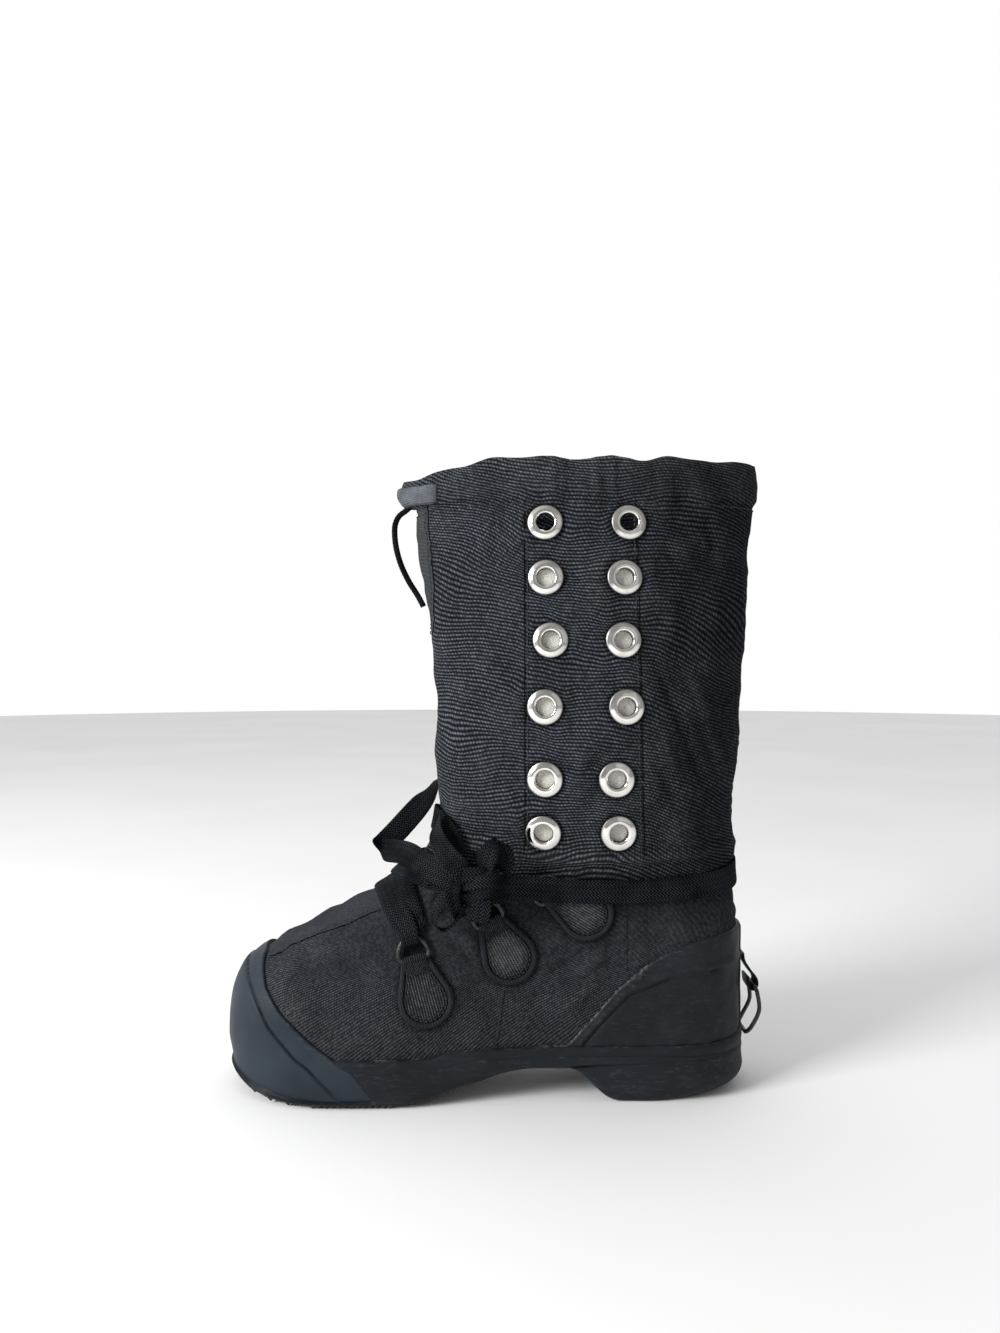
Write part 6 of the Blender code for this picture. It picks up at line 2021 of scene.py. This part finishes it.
# ---------------------------------------------------------------- stage
def make_stage():
    """A pale floor, soft studio light and the camera."""
    scene = bpy.context.scene
    world = scene.world or bpy.data.worlds.new("studio")
    scene.world = world
    world.use_nodes = True
    sky = world.node_tree.nodes["Background"]
    sky.inputs["Color"].default_value = (1.0, 1.0, 1.0, 1)
    links, nodes = world.node_tree.links, world.node_tree.nodes
    towards = nodes.new("ShaderNodeVectorMath")
    towards.operation = "DOT_PRODUCT"
    towards.inputs[1].default_value = (-1.0, -0.6, 0.1)
    links.new(nodes.new("ShaderNodeTexCoord").outputs["Generated"], towards.inputs[0])
    wall = nodes.new("ShaderNodeMapRange")
    wall.interpolation_type = "SMOOTHSTEP"
    links.new(towards.outputs["Value"], wall.inputs[0])
    for number, value in enumerate((-0.6, 0.45, 0.3, 1.0), 1):
        wall.inputs[number].default_value = value
    links.new(wall.outputs[0], sky.inputs["Strength"])
    turn = np.arange(96) * 2 * math.pi / 96
    mesh = bpy.data.meshes.new("floor")
    mesh.from_pydata([(5 * math.cos(a), 5 * math.sin(a), -0.2 * MM) for a in turn], [], [list(range(96))])
    f = Finish("pale floor", 0.95, specular_ior_level=0.1)
    pale = f.mix(f.ramp(f.noise(0.4), 0.3, 0.7), (0.90, 0.90, 0.90), (0.93, 0.93, 0.93))
    mesh.materials.append(f.finish(pale))
    floor = bpy.data.objects.new("floor", mesh)
    scene.collection.objects.link(floor)
    floor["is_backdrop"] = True
    for name, place, power, size in (("key", (1.0, -1.6, 0.95), 40, 0.7), ("fill", (1.5, 0.8, 0.9), 1, 1.2)):
        light = bpy.data.lights.new(name, "AREA")
        light.energy, light.size = power, size
        lamp = bpy.data.objects.new(name, light)
        lamp.location = place
        lamp.rotation_euler = (Vector((0, -0.1, 0.15)) - Vector(place)).to_track_quat("-Z", "Y").to_euler()
        scene.collection.objects.link(lamp)
    camera = bpy.data.cameras.new("camera")
    camera.lens, camera.sensor_width = 26, 36
    shot = bpy.data.objects.new("camera", camera)
    shot.location = (0.587, -0.100, 0.249)
    shot.rotation_euler = (math.pi / 2, 0, math.pi / 2)
    scene.collection.objects.link(shot)
    scene.camera = shot
    scene.view_settings.view_transform = "Standard"


# ---------------------------------------------------------------- settings, operators and panel
def length_setting(label, text, size):
    kind = {"unit": "LENGTH", "subtype": "DISTANCE", "precision": 5}
    return FloatProperty(name=label, description=text, default=size, min=0.0, **kind)


def colour_setting(label, text, colour):
    kind = {"size": 3, "min": 0.0, "max": 1.0, "subtype": "COLOR"}
    return FloatVectorProperty(name=label, description=text, default=colour, **kind)


class BootSizes(bpy.types.PropertyGroup):
    rib_pitch: length_setting("Rib pitch", "Distance between the ribs of the shaft's canvas", 2.05 * MM)
    twill_pitch: length_setting(
        "Twill pitch", "Distance between the twill lines of the foot's canvas", 1.75 * MM
    )
    tape_width: length_setting("Lace width", "Width of the flat lace", 14 * MM)
    tape_thick: length_setting("Lace thickness", "Thickness of the flat lace", 1.1 * MM)
    stitch_pitch: length_setting("Stitch pitch", "Distance from one stitch to the next", 3.2 * MM)
    relief: FloatProperty(
        name="Relief", description="How strongly the canvas folds", default=1.25, min=0.0, max=1.5
    )


class BootColours(bpy.types.PropertyGroup):
    canvas: colour_setting("Canvas", "Black canvas", (0.0222, 0.0252, 0.0304))
    canvas_worn: colour_setting("Worn canvas", "Canvas rubbed along its folds", (0.066, 0.072, 0.073))
    dust: colour_setting("Dust", "Dry dust in the cloth", (0.085, 0.086, 0.088))
    rubber: colour_setting("Rubber", "Rubber of the band, counter and heel", (0.0108, 0.0138, 0.0172))
    toe_rubber: colour_setting("Toe rubber", "Rubber of the toe guard", (0.0215, 0.0290, 0.0385))
    lace: colour_setting("Lace", "Black lace and drawcord", (0.0016, 0.0019, 0.0023))
    felt: colour_setting("Felt", "Lining and footbed", (0.66, 0.64, 0.59))
    binding: colour_setting("Binding", "Light binding at the collar", (0.105, 0.115, 0.130))


class BOOT_OT_stage(bpy.types.Operator):
    """Make the floor, the light and the camera"""

    bl_idname = "boot.stage"
    bl_label = "Stage"

    def execute(self, context):
        make_stage()
        return {"FINISHED"}


class BOOT_OT_upper(bpy.types.Operator):
    """Make the canvas upper"""

    bl_idname = "boot.upper"
    bl_label = "Canvas upper"

    def execute(self, context):
        make_upper()
        return {"FINISHED"}


class BOOT_OT_lining(bpy.types.Operator):
    """Make the felt lining and the footbed"""

    bl_idname = "boot.lining"
    bl_label = "Lining and footbed"

    def execute(self, context):
        make_lining()
        return {"FINISHED"}


class BOOT_OT_rubber(bpy.types.Operator):
    """Make the toe guard, the side band and the heel counter"""

    bl_idname = "boot.rubber"
    bl_label = "Rubber guards"

    def execute(self, context):
        make_toe_cap()
        make_band()
        make_counter()
        return {"FINISHED"}


class BOOT_OT_sole(bpy.types.Operator):
    """Make the sole, the heel and their tread"""

    bl_idname = "boot.sole"
    bl_label = "Sole and heel"

    def execute(self, context):
        make_sole()
        return {"FINISHED"}


class BOOT_OT_grommets(bpy.types.Operator):
    """Make the grommets of the shaft"""

    bl_idname = "boot.grommets"
    bl_label = "Grommets"

    def execute(self, context):
        make_grommets()
        return {"FINISHED"}


class BOOT_OT_tabs(bpy.types.Operator):
    """Make the lace tabs and their wire rings"""

    bl_idname = "boot.tabs"
    bl_label = "Lace tabs and rings"

    def execute(self, context):
        make_tabs()
        return {"FINISHED"}


class BOOT_OT_collar(bpy.types.Operator):
    """Make the collar's binding and the drawcord"""

    bl_idname = "boot.collar"
    bl_label = "Collar binding and drawcord"

    def execute(self, context):
        make_binding()
        make_drawcord()
        return {"FINISHED"}


class BOOT_OT_bail(bpy.types.Operator):
    """Make the chape and the wire bail at the heel"""

    bl_idname = "boot.bail"
    bl_label = "Heel chape and bail"

    def execute(self, context):
        make_bail()
        return {"FINISHED"}


class BOOT_OT_lace(bpy.types.Operator):
    """Make the lace and its knot"""

    bl_idname = "boot.lace"
    bl_label = "Lace"

    def execute(self, context):
        make_lace()
        return {"FINISHED"}


class BOOT_OT_stitching(bpy.types.Operator):
    """Make the rows of thread"""

    bl_idname = "boot.stitching"
    bl_label = "Stitching"

    def execute(self, context):
        make_stitching()
        return {"FINISHED"}


OPERATORS = (
    BOOT_OT_stage,
    BOOT_OT_lace,
    BOOT_OT_collar,
    BOOT_OT_upper,
    BOOT_OT_lining,
    BOOT_OT_rubber,
    BOOT_OT_sole,
    BOOT_OT_grommets,
    BOOT_OT_tabs,
    BOOT_OT_bail,
    BOOT_OT_stitching,
)


class BOOT_PT_pieces(bpy.types.Panel):
    """The boot's sizes, colours and pieces"""

    bl_label = "Canvas boot"
    bl_idname = "BOOT_PT_pieces"
    bl_space_type = "VIEW_3D"
    bl_region_type = "UI"
    bl_category = "Boot"

    def draw(self, context):
        for settings in (context.scene.boot_sizes, context.scene.boot_colours):
            for key in settings.__annotations__:
                self.layout.prop(settings, key)
        for made in OPERATORS:
            self.layout.operator(made.bl_idname)


CLASSES = (BootSizes, BootColours, *OPERATORS, BOOT_PT_pieces)


def register():
    for made in CLASSES:
        bpy.utils.register_class(made)
    bpy.types.Scene.boot_sizes = PointerProperty(type=BootSizes)
    bpy.types.Scene.boot_colours = PointerProperty(type=BootColours)


def unregister():
    del bpy.types.Scene.boot_colours
    del bpy.types.Scene.boot_sizes
    for made in reversed(CLASSES):
        bpy.utils.unregister_class(made)


def main():
    register()
    for made in OPERATORS:
        group, word = made.bl_idname.split(".")
        getattr(getattr(bpy.ops, group), word)()
    bpy.context.view_layer.update()
    boxes = {"cad": PACKED_BOX, "visual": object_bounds()}
    {name: [list(corner) for corner in box] for name, box in boxes.items()}


if __name__ == "__main__":
    main()
